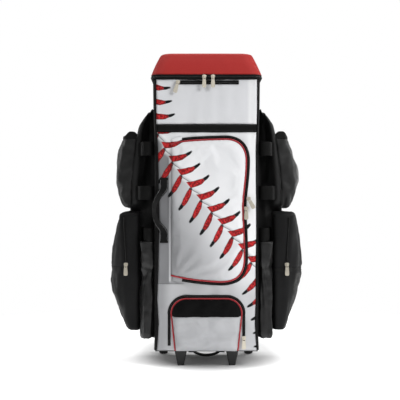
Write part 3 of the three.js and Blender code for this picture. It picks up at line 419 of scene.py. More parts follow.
def printed_cloth(name):
    finish = Finish(name, sheen_weight=0.05, specular_ior_level=0.2)
    x, _, z = finish.place()
    red, black, rim, crease, bulge, valley, over, across, far = lacing(finish)
    clouds = finish.cloudy(70, 2, 4)
    threads = weave(finish, 0.9)
    white = finish.mix(clouds, (0.79, 0.8, 0.82), (0.88, 0.885, 0.9))
    white = finish.mix(z.between(660, 700) * 0.45, white, (0.6, 0.61, 0.64))
    # Right of x = 112 the white is painted lighter: a painted highlight on the right strip, which turns towards
    # the light.
    white = finish.mix(x.between(112, 124) * 0.6, white, (0.97, 0.975, 0.98))
    dark, pale = (0.2, 0.202, 0.211), (0.8, 0.808, 0.83)
    print_grey_and_shade = 0.15 + 0.33 * far.between(-125, -10) + 0.42 * x.between(-110, 90)
    # From x = -101 leftwards the grey falls to near dark by x = -108: painted shade on the left strip beside the
    # hinge fold.
    print_grey_and_shade = print_grey_and_shade * x.between(-108, -101) + 0.02
    # At the foot, below z 234, the grey is darker left of x = -96, painted shade on the left strip, and a little
    # lighter right of x = 50.
    foot_grey_and_shade = 0.2 + 0.27 * x.between(-128, -96) + 0.12 * x.between(50, 125)
    blur = x.between(-75, -30)
    low = 1 - z.between(231 - 34 * blur, 238 + 16 * blur)
    print_grey_and_shade = print_grey_and_shade * (1 - low) + foot_grey_and_shade * low + (clouds - 0.5) * 0.14
    grey = finish.mix(print_grey_and_shade, dark, pale)
    # A pale line down the hinge fold at x = -103, above z 238: a painted highlight on the fold.
    painted_hinge_highlight = (1 - abs(x + 103).between(0.8, 4)) * z.between(238, 246)
    grey = finish.mix(painted_hinge_highlight * 0.75, grey, (0.66, 0.665, 0.685))
    ground = finish.mix(over.between(-0.6, 0.6), grey, white)
    ground = finish.mix(bulge * 0.6, ground, (0.88, 0.885, 0.9))
    ground = finish.mix(valley * 0.5, ground, (0.36, 0.365, 0.38))
    ground = finish.mix(crease * 0.8, ground, (0.1, 0.1, 0.11))
    sewn = (1 - abs(z - 237 + clouds * 2).between(0.3, 1.3)) * (1 - x.between(-66, -60))
    ground = finish.mix(sewn * 0.7, ground, (0.1, 0.1, 0.11))
    wander = finish.cloudy(11, 2, 7)
    strands = (across.sum("SINE", across * 1.7 + wander * 9) * 0.5 + 0.5).between(0.15, 0.7)
    grain = finish.cloudy(5, 3, 7).between(0.4, 0.62)
    thread = finish.mix(strands * 0.35 + grain * 0.65, (0.05, 0.001, 0.003), (0.74, 0.028, 0.03))
    thread = finish.mix(rim * 0.55, thread, (0.06, 0.001, 0.003))
    colour = finish.mix(red, ground, thread)
    colour = finish.mix(black, colour, (0.002, 0.002, 0.003))
    finish.set("Base Color", colour)
    finish.set("Roughness", 0.55 + 0.12 * clouds - 0.08 * red)
    wrinkles = finish.cloudy(30, 2, 12)
    finish.raise_by(threads * 0.35 + red * 0.8 + 0.5 * strands * red + bulge * 4 + wrinkles * 6, 0.12)
    return finish.material


def pucker(rows, inside, depth, seed, reach=16):
    """Small gathers along the sewn sides of a panel, which die out towards its middle."""
    wide, tall = np.ptp(rows[..., 0], axis=1).mean(), np.ptp(rows[..., 2], axis=0).mean()
    u = np.linspace(0, 1, rows.shape[1])[None, :] * wide
    v = np.linspace(0, 1, rows.shape[0])[:, None] * tall
    side = np.exp(-np.minimum(u, wide - u) / reach)
    end = np.exp(-np.minimum(v, tall - v) / reach)
    held = np.minimum(np.minimum(u, wide - u), np.minimum(v, tall - v)) > 0.1
    gathers = side * uneven(rows, (60, 60, 15), seed) + end * uneven(rows, (15, 60, 60), seed + 1)
    return rows + away(rows, inside) * (held * gathers * depth)[..., None]


def front_rows(bottom, top, step=5.5, rise=0.0):
    heights = np.linspace(bottom, top, max(round((top - bottom) / step), 3) + 1)
    share = np.linspace(0, 1, 51)
    x = np.array([panel_edge(-1, z) + share * (panel_edge(1, z) - panel_edge(-1, z)) for z in heights])
    z = np.repeat(heights[:, None], len(share), axis=1)
    return np.stack([x, panel_front - rise - swell(x, z), z], axis=2)


panel_print = printed_cloth("printed panel cloth")
panel_ends = {
    "lower": (tower["bottom"], band_bottom - pressed_apart),
    "upper": (band_top + pressed_apart, tower["rim"] - pressed_apart),
}
for part, (bottom, top) in panel_ends.items():
    rows = front_rows(bottom, top)
    rows = pucker(rows, inside_tower, 2.6, 3)
    low_down = np.clip((300 - rows[..., 2]) / 60, 0, 1)
    ripple = uneven(rows, (30, 40, 150), 6) * 1.7 + uneven(rows, (70, 70, 45), 7) * 1.5
    slanted = rows + rows[..., 2:] * np.array((0.6, 0, 0))
    ripple += low_down * (creased(slanted, (44, 60, 60), 8) * 1.5 + uneven(rows, (22, 30, 60), 9) * 2.4)
    ripple = np.minimum(ripple, 1.3 + 3 * (1 - low_down))
    edge = np.minimum(np.abs(np.linspace(-1, 1, rows.shape[1])) * -1 + 1, 0.2) * 5
    rows += away(rows, inside_tower) * (edge * (ripple - 1.2))[..., None]
    panel = with_wall(skin(f"front_panel_{part}_cloth", rows, inside_tower), 2)
    finished(panel, panel_print, f"front_panel_{part}")
    cut_size(rows)
    if part == "lower":
        lower_panel = panel

# Band across the front: black webbing between the two panels, with a row of stitches along each edge.
# Every stitch is a short loop of thread that dips into the cloth at both ends.
band_rows = front_rows(band_bottom, band_top, 3.6, 1.0)
band_rows[..., 1] -= 0.5 * np.sin(np.linspace(0, np.pi, len(band_rows)))[:, None]
band = with_wall(skin("mid_band_webbing", band_rows, inside_tower), 3)


def webbing_finish(name, shade=0.02, rib=1.7, gloss=0.14):
    """Woven webbing: fine ribs across it, with raised threads and faint dusty wear."""
    finish = Finish(name, sheen_weight=0.01, sheen_roughness=0.4, specular_ior_level=gloss)
    u, v = finish.laid()
    ribs = u.sum("SINE", v * (2 * np.pi / rib)) * 0.5 + 0.5
    cords = u.sum("SINE", u * (2 * np.pi / 1.3) + ribs * 2) * 0.5 + 0.5
    clouds = finish.cloudy(24, 3, 9)
    dark, light = (shade * 0.6,) * 3, (shade * 1.6, shade * 1.6, shade * 1.55)
    finish.set("Base Color", finish.mix(clouds * 0.55 + ribs * 0.3 + cords * 0.15, dark, light))
    finish.set("Roughness", 0.72 - 0.14 * clouds)
    finish.raise_by(ribs * 0.6 + cords * 0.4, 0.22)
    return finish.material


band_webbing = webbing_finish("band webbing", 0.0025)
finished(band, band_webbing, "mid_band")
cut_size(band_rows)


def thread_finish(name, colour):
    finish = Finish(name, sheen_weight=0.3)
    twist = finish.cloudy(1.6, 1, 4)
    finish.set("Base Color", finish.mix(twist, [c * 0.6 for c in colour], [c * 1.3 for c in colour]))
    finish.set("Roughness", 0.6 - 0.2 * twist)
    return finish.material


def repeat_along():
    """Nodes that set copies of a small shape along a path, turned to it and to its outward side."""
    tree = bpy.data.node_groups.new("copies along a path", "GeometryNodeTree")
    sockets = {}
    kinds = {"Path": "Geometry", "Shape": "Object", "Spacing": "Float", "Finish": "Material"}
    for name, kind in kinds.items():
        made = tree.interface.new_socket(name, in_out="INPUT", socket_type=f"NodeSocket{kind}")
        sockets[name] = made.identifier
    tree.interface.new_socket("Copies", in_out="OUTPUT", socket_type="NodeSocketGeometry")

    def node(kind, **inputs):
        made = tree.nodes.new(kind)
        for name, value in inputs.items():
            socket = made.inputs[name.replace("_", " ")]
            if isinstance(value, bpy.types.NodeSocket):
                tree.links.new(value, socket)
            else:
                socket.default_value = value
        return made

    given = node("NodeGroupInput").outputs
    path = node("GeometryNodeMeshToCurve", Mesh=given["Path"])
    spaced = tree.nodes.new("GeometryNodeResampleCurve")
    spaced.mode = "LENGTH"
    tree.links.new(path.outputs["Curve"], spaced.inputs["Curve"])
    tree.links.new(given["Spacing"], spaced.inputs["Length"])
    outward = node("GeometryNodeInputNamedAttribute")
    outward.data_type = "FLOAT_VECTOR"
    outward.inputs["Name"].default_value = "outward"
    along = node("FunctionNodeAlignRotationToVector", Vector=node("GeometryNodeInputTangent").outputs[0])
    along.axis = "X"
    facing = node("FunctionNodeAlignRotationToVector", Rotation=along.outputs[0], Vector=outward.outputs[0])
    facing.axis = "Z"
    facing.pivot_axis = "X"
    shape = node("GeometryNodeObjectInfo", Object=given["Shape"])
    copies = node(
        "GeometryNodeInstanceOnPoints",
        Points=spaced.outputs["Curve"],
        Instance=shape.outputs["Geometry"],
        Rotation=facing.outputs[0],
    )
    real = node("GeometryNodeRealizeInstances", Geometry=copies.outputs[0])
    dressed = node("GeometryNodeSetMaterial", Geometry=real.outputs[0], Material=given["Finish"])
    tree.links.new(dressed.outputs[0], node("NodeGroupOutput").inputs[0])
    return tree, sockets


copies_tree, copies_inputs = repeat_along()


def closed_up(mesh):
    """Fills a mesh's open ends and turns all its faces outwards."""
    shape = bmesh.new()
    shape.from_mesh(mesh)
    bmesh.ops.holes_fill(shape, edges=[e for e in shape.edges if e.is_boundary], sides=0)
    bmesh.ops.recalc_face_normals(shape, faces=shape.faces)
    shape.to_mesh(mesh)
    shape.free()
    mesh.shade_smooth()


def small_shape(name, points, faces):
    """A little shape to be copied, in mm: X runs along the path and Z points out of the cloth."""
    mesh = bpy.data.meshes.new(name)
    mesh.from_pydata((np.array(points, float) * mm).tolist(), [], faces)
    closed_up(mesh)
    return bpy.data.objects.new(name, mesh)


def beads(stations, sides=5):
    """Points and faces of a thread-like body: rings of (x, z, width, height) closed at both ends."""
    turn = 2 * np.pi * (np.arange(sides) + 0.5) / sides
    points = [(x, w * np.cos(a), z + h * np.sin(a)) for x, z, w, h in stations for a in turn]
    faces = [tuple(range(sides)), tuple(range(len(points) - sides, len(points)))]
    for r in range(len(stations) - 1):
        for i in range(sides):
            a, b = r * sides + i, r * sides + (i + 1) % sides
            faces.append((a, b, b + sides, a + sides))
    return points, faces


stitch_step = 3.4
stitch_rings = [
    (-1.35, -0.5, 0.16, 0.14), (-0.9, 0.05, 0.34, 0.24), (0.9, 0.05, 0.34, 0.24), (1.35, -0.5, 0.16, 0.14),
]
stitch = small_shape("stitch", *beads(stitch_rings))


def copies_on(name, paths, shape, spacing, finish):
    """Copies of a shape along paths; a path is a list of points in mm with the outward direction of each."""
    points, outs, edges = [], [], []
    for path, outward in paths:
        start = len(points)
        points += [tuple(p) for p in path]
        outs += [tuple(o) for o in np.broadcast_to(np.array(outward, float), (len(path), 3))]
        edges += [(i, i + 1) for i in range(start, len(points) - 1)]
    mesh = bpy.data.meshes.new(name)
    mesh.from_pydata((np.array(points) * mm).tolist(), edges, [])
    mesh.attributes.new("outward", "FLOAT_VECTOR", "POINT").data.foreach_set("vector", np.array(outs).ravel())
    piece = placed(name, mesh)
    nodes = piece.modifiers.new("copies", "NODES")
    nodes.node_group = copies_tree
    nodes[copies_inputs["Shape"]] = shape
    nodes[copies_inputs["Spacing"]] = spacing * mm
    nodes[copies_inputs["Finish"]] = finish
    seen = piece.evaluated_get(bpy.context.evaluated_depsgraph_get())
    piece.data = bpy.data.meshes.new_from_object(seen)
    piece.modifiers.clear()
    piece.data.shade_smooth()
    return piece


def row_at(rows, index, lift):
    return rows[index] + away(rows, inside_tower)[index] * lift


black_thread = thread_finish("black thread", (0.012, 0.012, 0.012))
seams = [(row_at(band_rows, 1, 0.2), (0, -1, 0)), (row_at(band_rows, -2, 0.2), (0, -1, 0))]
band_stitches = copies_on("mid_band_stitches", seams, stitch, stitch_step, black_thread)
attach(band_stitches, "bag")

# Edge piping: a thin black welt sewn between each panel edge and the tower's front strip, round like
# the cord that it covers.
edge_welt = 2.2


def unit(vectors):
    return vectors / np.linalg.norm(vectors, axis=-1, keepdims=True)


def welt(name, path, outward, radius, sides=10):
    """A round welt along a path of points in mm; outward is the side that faces away from the bag."""
    path = np.array(path, float)
    along = unit(np.gradient(path, axis=0))
    out = np.broadcast_to(np.array(outward, float), path.shape)
    across = unit(np.cross(along, out))
    out = np.cross(across, along)
    turn = 2 * np.pi * np.arange(sides) / sides
    cos, sin = np.cos(turn)[None, :, None], np.sin(turn)[None, :, None]
    rows = path[:, None] + radius * (across[:, None] * cos + out[:, None] * sin)
    middle = path.mean(axis=0)
    piece = skin(name, rows, middle, ring=True)
    closed_up(piece.data)
    return piece


welt_cloth = black_cloth("edge welt cloth", 0.003, 0.8)
for side, hand in ((-1, "left"), (1, "right")):
    heights = np.linspace(tower["bottom"] + 1, tower["rim"] - 0.5, 130)
    edge = panel_edge(side, heights) + side * 2.4
    depth = -123 - edge_welt - swell(edge, heights)
    line = np.stack([edge, depth, heights], axis=1)
    piping = welt(f"edge_welt_{hand}", line, (0, -1, 0), edge_welt)
    finished(piping, welt_cloth, f"edge_piping_{hand}")

# Front pocket: a large soft flap pocket of the same printed cloth, hinged along its left side and
# closed by a zip round the other three. A red welt is sewn round its edge and air fills it out.
pocket = {"left": -100, "right": 111.6, "bottom": 242, "top": 642.4, "bulge": 17}
pocket_welt = 2.4
pocket_base = panel_front - pressed_apart


def pocket_edge(inset, step=4):
    """The pocket's outline from its upper left corner, round to the right and back to the lower left."""
    width = pocket["right"] - pocket["left"] - 2 * inset
    height = pocket["top"] - pocket["bottom"] - 2 * inset
    curves = [
        [(0, 0.962), (0.12, 0.992), (0.4, 0.995), (0.72, 1)],
        [(0.72, 1), (0.93, 1), (1, 0.93), (1, 0.85)],
        [(1, 0.85), (1, 0.72), (0.955, 0.62), (0.955, 0.53)],
        [(0.955, 0.53), (0.955, 0.42), (0.975, 0.33), (0.975, 0.17)],
        [(0.975, 0.17), (0.975, 0.05), (0.88, 0), (0.66, 0)],
        [(0.66, 0), (0.4, 0.005), (0.15, 0.025), (0, 0.045)],
    ]
    t = np.linspace(0, 1, 40)[:, None]
    points = []
    for a, b, c, d in np.array(curves):
        points.append(((1 - t) ** 3 * a + 3 * t * (1 - t) ** 2 * b + 3 * t * t * (1 - t) * c + t**3 * d)[:-1])
    points.append(np.array([[0, 0.045]]))
    outline = np.concatenate(points) * (width, height) + (pocket["left"] + inset, pocket["bottom"] + inset)
    return evenly(outline, step)


def evenly(path, step):
    place = np.concatenate([[0], np.linalg.norm(np.diff(path, axis=0), axis=1).cumsum()])
    even = np.linspace(0, place[-1], round(place[-1] / step) + 1)
    return np.stack([np.interp(even, place, column) for column in np.array(path, float).T], axis=1)


def to_border(points, outline):
    """How far each point is from a closed outline."""
    a, b = outline, np.roll(outline, -1, axis=0)
    side = b - a
    t = ((points[:, None] - a) * side).sum(axis=2) / np.maximum((side**2).sum(axis=1), 1e-9)
    nearest = a + np.clip(t, 0, 1)[..., None] * side
    return np.linalg.norm(points[:, None] - nearest, axis=2).min(axis=1)


def filled(name, outline, height, step=5.0, seam=None):
    """A stuffed skin over a closed outline on the front: even triangles, raised by height(x, z, border)."""
    x = np.arange(outline[:, 0].min(), outline[:, 0].max(), step)
    z = np.arange(outline[:, 1].min(), outline[:, 1].max(), step * 0.866)
    grid = np.array([(a + (i % 2) * step / 2, b) for i, b in enumerate(z) for a in x])
    near = to_border(grid, outline)
    turn = np.roll(outline, -1, axis=0) - outline
    inner = []
    for depth in (1.2, 2.9):
        square = np.stack([-turn[:, 1], turn[:, 0]], axis=1)
        square /= np.maximum(np.linalg.norm(turn, axis=1), 1e-9)[:, None]
        middle = (outline + np.roll(outline, -1, axis=0)) / 2
        for sign in (1, -1):
            inner.append(middle + sign * square * depth)
    inner = np.concatenate(inner)
    extra = inner[to_border(inner, outline) > 1.0]
    points = [outline, grid[near > 4.6], extra]
    edges = [(i, (i + 1) % len(outline)) for i in range(len(outline))]
    if seam is not None:
        points[1] = points[1][abs(points[1][:, 1] - seam) > 2.4]
        points[2] = points[2][abs(points[2][:, 1] - seam) > 1.6]
        crossing = outline[abs(outline[:, 1] - seam) < 0.01][:, 0]
        line = np.linspace(crossing.min(), crossing.max(), round(np.ptp(crossing) / step))[1:-1]
        points.append(np.stack([line, np.full(len(line), seam)], axis=1))
    flat = np.concatenate(points)
    made = delaunay_2d_cdt([Vector(p) for p in flat], edges, [list(range(len(outline)))], 1, 1e-4)
    spots = np.array([tuple(p) for p in made[0]])
    border = to_border(spots, outline)
    lift = height(spots[:, 0], spots[:, 1], border)
    y = pocket_base - np.where(border < 0.05, 0, lift) - swell(spots[:, 0], spots[:, 1])
    solid = np.stack([spots[:, 0], y, spots[:, 1]], axis=1)
    quarter_turn = np.array([[0, 1], [-1, 0]])
    faces = []
    for face in made[2]:
        first, second, third = (spots[i] for i in face[:3])
        faces.append(face if (second - first) @ quarter_turn @ (third - first) < 0 else face[::-1])
    mesh = bpy.data.meshes.new(name)
    mesh.from_pydata((solid * mm).tolist(), [], faces)
    laid = [spots[i] * mm for f in faces for i in f]
    mesh.uv_layers.new(name="cloth").data.foreach_set("uv", np.array(laid).ravel())
    mesh.shade_smooth()
    piece = placed(name, mesh)
    return piece, np.flatnonzero(border < 0.6)


def settle(piece, sewn, air, slack, reach, steps=18):
    """Fills the cloth out with a little air and slack, held where it is sewn; reach caps its moves in mm."""
    scene = bpy.context.scene
    start = np.array([v.co for v in piece.data.vertices])
    group = piece.vertex_groups.new(name="sewn")
    group.add([int(i) for i in sewn], 1, "REPLACE")
    cloth = piece.modifiers.new("cloth", "CLOTH")
    cloth.point_cache.frame_end = steps
    made = cloth.settings
    made.quality = 5
    made.mass = 0.25
    made.tension_stiffness = made.compression_stiffness = 20
    made.shear_stiffness = 8
    made.bending_stiffness = 0.4
    made.vertex_group_mass = "sewn"
    made.shrink_min = -slack
    made.use_pressure = True
    made.uniform_pressure_force = air
    made.effector_weights.gravity = 0
    cloth.collision_settings.use_collision = False
    for step in range(1, steps + 1):
        scene.frame_set(step)
    seen = piece.evaluated_get(bpy.context.evaluated_depsgraph_get())
    moved = np.array([v.co for v in seen.data.vertices]) - start
    far = np.maximum(np.linalg.norm(moved, axis=1, keepdims=True), 1e-9)
    moved *= reach * mm * np.tanh(far / (reach * mm)) / far
    piece.modifiers.remove(cloth)
    piece.data.vertices.foreach_set("co", (start + moved).ravel())
    piece.data.update()
    scene.frame_set(1)


def pocket_height(x, z, border):
    near = 1 - np.minimum(border / 46, 1)
    full = 1.02 - 0.12 * (z - pocket["bottom"]) / 400 - 0.1 * (pocket["right"] - x) / 212
    corner = np.hypot(x - pocket["left"], z - pocket["bottom"])
    fan = np.arctan2(z - pocket["bottom"], x - pocket["left"])
    folds = np.sin(fan * 16) * np.exp(-((corner - 70) ** 2) / 2400) * 3.6
    soft = np.array([noise.noise(Vector((a / 60, b / 70, 3))) for a, b in zip(x, z)])
    crown = pocket["bulge"] * 0.88 * full * (1 - near**3) ** 0.62
    return crown + (folds + 2.2 * soft) * np.minimum(border / 25, 1)


pocket_outline = pocket_edge(pocket_welt + 0.3)
left_tall = abs(pocket_outline[0][1] - pocket_outline[-1][1])
left_side = np.linspace(pocket_outline[-1], pocket_outline[0], round(left_tall / 4) + 1)
whole_outline = np.concatenate([pocket_outline, left_side[1:-1]])
front_pocket, sewn = filled("front_pocket_flap", whole_outline, pocket_height)
settle(front_pocket, sewn, air=1.2, slack=0.02, reach=5)
with_wall(front_pocket, 1.6)
finished(front_pocket, panel_print, "front_pocket")


def on_front(path, out=0.0):
    """A path of (x, z) laid on the swollen front, a little out of it."""
    path = np.array(path, float)
    return np.stack([path[:, 0], pocket_base - out - swell(path[:, 0], path[:, 1]), path[:, 1]], axis=1)


def red_cloth(name):
    finish = Finish(name, sheen_weight=0.25, specular_ior_level=0.4)
    threads = weave(finish, 0.8)
    clouds = finish.cloudy(14, 3, 3)
    dark, light = (0.27, 0.006, 0.012), (0.48, 0.016, 0.026)
    finish.set("Base Color", finish.mix(clouds * 0.7 + threads * 0.3, dark, light))
    finish.set("Roughness", 0.62 - 0.1 * clouds)
    finish.raise_by(threads * 0.5 + clouds, 0.12)
    return finish.material


red_welt = red_cloth("red welt cloth")
edge_line = pocket_edge(0)
piping = welt("front_pocket_welt", on_front(edge_line, pocket_welt), (0, -1, 0), pocket_welt)
finished(piping, red_welt, "front_pocket_piping")


def beside(path, distance):
    """A path moved to its left in the plane of the front."""
    along = unit(np.gradient(path, axis=0))
    return path + distance * np.stack([-along[:, 1], along[:, 0]], axis=1)


# Zip round the front pocket: woven black tape with a row of nylon coil down its middle, small hooped
# teeth that are all alike. A patch of the printed cloth covers each end, where the tape is sewn down.
zip_wide, zip_thick = 8, 1.1


def zip_tape(name, path, outward, wide=zip_wide):
    """A flat woven tape along a path in mm, with its coil down the middle; returns the tape."""
    path = np.array(path, float)
    along = unit(np.gradient(path, axis=0))
    out = np.broadcast_to(np.array(outward, float), path.shape)
    across = unit(np.cross(along, out))
    left = [(-0.5, 0.05), (-0.49, 0.55), (-0.2, 0.62), (-0.13, 0.95)]
    profile = left + [(-side, lift) for side, lift in left[::-1]]
    rows = np.stack([path + across * wide * s + out * zip_thick * lift for s, lift in profile], axis=1)
    return skin(name, rows, path.mean(axis=0) - out.mean(axis=0) * 500)


coil_pitch = 1.3
coil_rings = [(-0.3, 0.1, 0.5, 0.3), (-0.3, 0.35, 1.25, 0.42), (0.3, 0.35, 1.25, 0.42), (0.3, 0.1, 0.5, 0.3)]
coil = small_shape("zip coil", *beads(coil_rings, 6))
tape_cloth = webbing_finish("zip tape", 0.003, 1.2)
coil_plastic = Finish("zip coil", coat_weight=0.2, specular_ior_level=0.5)
coil_wear = coil_plastic.cloudy(6, 1, 2)
coil_plastic.set("Base Color", coil_plastic.mix(coil_wear, (0.005, 0.005, 0.005), (0.014, 0.014, 0.015)))
coil_plastic.set("Roughness", 0.34 + 0.2 * coil_wear)


def closed_zip(name, node, path, outward, wide=zip_wide):
    tape = zip_tape(f"{name}_tape", path, outward, wide)
    with_wall(tape, 0.4)
    tape.data.materials.append(tape_cloth)
    line = np.array(path, float) + np.broadcast_to(np.array(outward, float), (len(path), 3)) * zip_thick * 0.8
    teeth = copies_on(f"{name}_coil", [(line, outward)], coil, coil_pitch, coil_plastic.material)
    for piece in (tape, teeth):
        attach(piece, "bag")
    if node:
        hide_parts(node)
    return tape


zip_line = beside(pocket_edge(0, 3), pocket_welt + 0.3 + zip_wide / 2)
closed_zip("front_pocket_zip", "front_pocket_zip", on_front(zip_line[9:-9]), (0, -1, 0))
for end, covered in (("upper", zip_line[2:12]), ("lower", zip_line[-12:-2])):
    cover = zip_tape(f"front_pocket_zip_{end}_cover", on_front(covered, 1.2), (0, -1, 0), 15)
    with_wall(cover, 0.8)
    finished(cover, panel_print)


def dropped_on(piece, path, outward, lift=0.15):
    """A path of points in mm let down onto a piece's cloth from its outward side."""
    mesh = piece.data
    cloth = BVHTree.FromPolygons([v.co for v in mesh.vertices], [face.vertices for face in mesh.polygons])
    out = Vector(outward)
    spots = [cloth.ray_cast(Vector(point) * mm + out * 0.1, -out)[0] for point in np.array(path, float)]
    return np.array([spot / mm + out * lift for spot in spots if spot is not None])


def front_stitches(name, piece, paths, thread):
    """Rows of stitches on a piece of the front, along paths of (x, z) points."""
    rows = [np.stack([p[:, 0], p[:, 0] * 0 + panel_front, p[:, 1]], axis=1) for p in paths]
    lines = [(dropped_on(piece, row, (0, -1, 0)), (0, -1, 0)) for row in rows]
    sewn = copies_on(name, lines, stitch, stitch_step, thread)
    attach(sewn, "bag")


pale_thread = thread_finish("pale thread", (0.42, 0.42, 0.43))
pocket_seam = pocket_edge(pocket_welt + 5)
front_stitches("front_pocket_stitches", front_pocket, [pocket_seam], pale_thread)
panel_seam = np.stack([np.linspace(-133, -68, 30), np.full(30, 234.5)], axis=1)
front_stitches("front_panel_stitches", lower_panel, [panel_seam], pale_thread)

# Lower pocket: a rounded pocket at the foot of the front, black above its seam and pale grey below,
# edged with the same red welt and closed by a zip that runs up both its sides.
low_pocket = {"half": 99, "foot_half": 88, "top": 194, "corner": 42, "bulge": 27, "seam": 144.5}


def low_edge(grow, foot):
    """The lower pocket's outline, from its left foot over the top to its right foot."""
    reach, x, z = low_pocket["corner"] + grow, low_pocket["half"] - 42, low_pocket["top"] - 42
    turn = np.linspace(0, np.pi / 2, 16)
    arc = np.stack([x + reach * np.cos(turn), z + reach * np.sin(turn)], axis=1)
    rise = np.array([foot, z])
    lean = (rise - tower["bottom"]) / (z - tower["bottom"])
    side = np.stack([low_pocket["foot_half"] + lean * 11 + grow, rise], axis=1)
    right = np.concatenate([side[:-1], arc])
    return evenly(np.concatenate([right * (-1, 1), right[::-1]]), 4)


low_foot = tower["bottom"] + 0.3
low_outline = low_edge(-pocket_welt - 0.3, low_foot)
for side in (slice(None, len(low_outline) // 2), slice(len(low_outline) // 2, None)):
    half = low_outline[side]
    half[abs(half[:, 1] - low_pocket["seam"]).argmin(), 1] = low_pocket["seam"]
foot_line = np.linspace(low_outline[-1], low_outline[0], round(np.ptp(low_outline[:, 0]) / 4) + 1)[1:-1]


def low_height(x, z, border):
    near = 1 - np.minimum(border / 30, 1)
    full = 1.0 - 0.2 * (z - low_foot) / (low_pocket["top"] - low_foot)
    soft = np.array([noise.noise(Vector((a / 45, b / 30, 7))) for a, b in zip(x, z)])
    creases = np.array([noise.noise(Vector((a / 90, b / 13, 9))) for a, b in zip(x, z)])
    belt = np.exp(-(((z - low_pocket["seam"]) / 5) ** 2)) * 1.6
    slant = np.array([noise.noise(Vector(((a + b) / 34, (a - b) / 80, 5))) for a, b in zip(x, z)])
    loose = 2.4 * soft + 1.4 * creases + 3.4 * slant * (z < low_pocket["seam"] - 4)
    crown = low_pocket["bulge"] * 0.9 * full * (1 - near**3) ** 0.6
    return crown + (loose - belt) * np.minimum(border / 18, 1)


low_whole = np.concatenate([low_outline, foot_line])
low_skin, sewn = filled("lower_pocket_skin", low_whole, low_height, seam=low_pocket["seam"])
seam_points = [v.index for v in low_skin.data.vertices if abs(v.co.z - low_pocket["seam"] * mm) < 2e-4]
settle(low_skin, np.union1d(sewn, seam_points), air=1.2, slack=0.025, reach=5)


def part_of(whole, name, keep):
    """The part of a sewn skin whose faces are kept, as a piece of its own."""
    mesh = whole.data.copy()
    mesh.name = name
    shape = bmesh.new()
    shape.from_mesh(mesh)
    others = [face for face in shape.faces if not keep(face.calc_center_median() / mm)]
    bmesh.ops.delete(shape, geom=others, context="FACES")
    shape.to_mesh(mesh)
    shape.free()
    return placed(name, mesh)


def plain_white(name):
    finish = Finish(name, sheen_weight=0.05, specular_ior_level=0.3)
    x = finish.place()[0]
    clouds = finish.cloudy(60, 2, 8)
    threads = weave(finish, 0.9)
    # The grey is lighter to the right and darker to the left: painted shade on the side away from the light.
    left = finish.mix(clouds, (0.38, 0.385, 0.4), (0.46, 0.465, 0.48))
    right = finish.mix(clouds, (0.4, 0.405, 0.42), (0.49, 0.495, 0.51))
    finish.set("Base Color", finish.mix(x.between(-90, 60), left, right))
    finish.set("Roughness", 0.55 + 0.12 * clouds)
    finish.raise_by(threads * 0.35 + finish.cloudy(30, 2, 12) * 7, 0.12)
    return finish.material


yoke_cloth = black_cloth("yoke cloth", 0.0025, 1.0, 0.72, 0.08)
foot_cloth = plain_white("foot panel cloth")
lower = part_of(low_skin, "lower_pocket_foot_panel", lambda c: c.z < low_pocket["seam"])
yoke = part_of(low_skin, "lower_pocket_top_yoke", lambda c: c.z > low_pocket["seam"])
for piece, cloth, node, slot, tall in (
    (lower, foot_cloth, "lower_pocket_panel", "printed_fabric", 0.118),
    (yoke, yoke_cloth, "lower_pocket_yoke", "black_fabric", 0.075),
):
    with_wall(piece, 1.6)
    finished(piece, cloth, node)
bpy.data.objects.remove(low_skin)
inside_welt = low_edge(-pocket_welt - 5, low_foot + 3)
below = inside_welt[inside_welt[:, 1] < low_pocket["seam"] - 1]
feet = [below[below[:, 0] < 0], below[below[:, 0] > 0]]
front_stitches("lower_pocket_foot_stitches", lower, feet, pale_thread)
over_seam = np.stack([np.linspace(-92, 92, 60), np.full(60, low_pocket["seam"] + 3)], axis=1)
above = inside_welt[inside_welt[:, 1] > low_pocket["seam"] + 1]
front_stitches("lower_pocket_yoke_stitches", yoke, [above, over_seam], black_thread)
piping = welt("lower_pocket_welt", on_front(low_edge(0, low_foot), pocket_welt), (0, -1, 0), pocket_welt)
finished(piping, red_welt, "lower_pocket_piping")
low_zip_line = low_edge(pocket_welt + 0.3 + zip_wide / 2, tower["bottom"] + 14)
upright = low_zip_line[:, 1] < 152
low_zip_line[upright, 0] = np.sign(low_zip_line[upright, 0]) * (109 - zip_wide / 2)
closed_zip("lower_pocket_zip", "lower_pocket_zip", on_front(low_zip_line), (0, -1, 0))

# Wings: a padded compartment on each side of the tower, of the same black cloth over thicker foam. Its
# front steps back beside the tower into a groove for the bats, where the slack cloth hangs in folds.
wing_shape = np.array([
    (0, 0.88, 0), (0.04, 1.02, 0), (0.535, 1.03, 0), (0.56, 1.025, 0.9), (0.62, 1, 1), (0.69, 0.965, 1),
    (0.79, 0.845, 1), (0.88, 0.715, 1), (0.92, 0.59, 0.95), (0.955, 0.39, 0.85), (0.985, 0.17, 0.6),
    (1, 0.07, 0.45),
])
wing_low, wing_high, wing_wide = 96, 745, 72
groove_y, band_y = -30, -68


def wing_reach(z):
    return wing_wide * np.interp((z - wing_low) / (wing_high - wing_low), wing_shape[:, 0], wing_shape[:, 1])


def wing_outer(z):
    return half_width(z) + 0.3 + wing_reach(z)


def wing_row(side, z, seated=1.0):
    share = np.interp((z - wing_low) / (wing_high - wing_low), wing_shape[:, 0], wing_shape[:, 2])
    reach, band = wing_reach(z), groove_y + (band_y - groove_y) * share
    back, turn = tower["back"], min(14, wing_reach(z) * 0.3)
    plan = [
        (0, groove_y), (reach * 0.3, groove_y), (reach * 0.5, groove_y + (band - groove_y) * 0.45),
        (reach * 0.68, groove_y + (band - groove_y) * 0.92), (reach * 0.84, band),
        (reach - turn * 0.25, band + turn * 0.3), (reach, band + turn), (reach, back - turn),
        (reach - turn * 0.3, back - turn * 0.3), (reach - turn, back), (0, back),
    ]
    return [(side * (half_width(z) + 0.3 + out * seated), y, z) for out, y in plan]


def soft_shell(rows, inside, bumps, ring=False):
    """Rows moved along their outward side by the sum of bumps, each an amount in mm per point."""
    return rows + away(rows, inside, ring) * sum(bumps)[..., None]


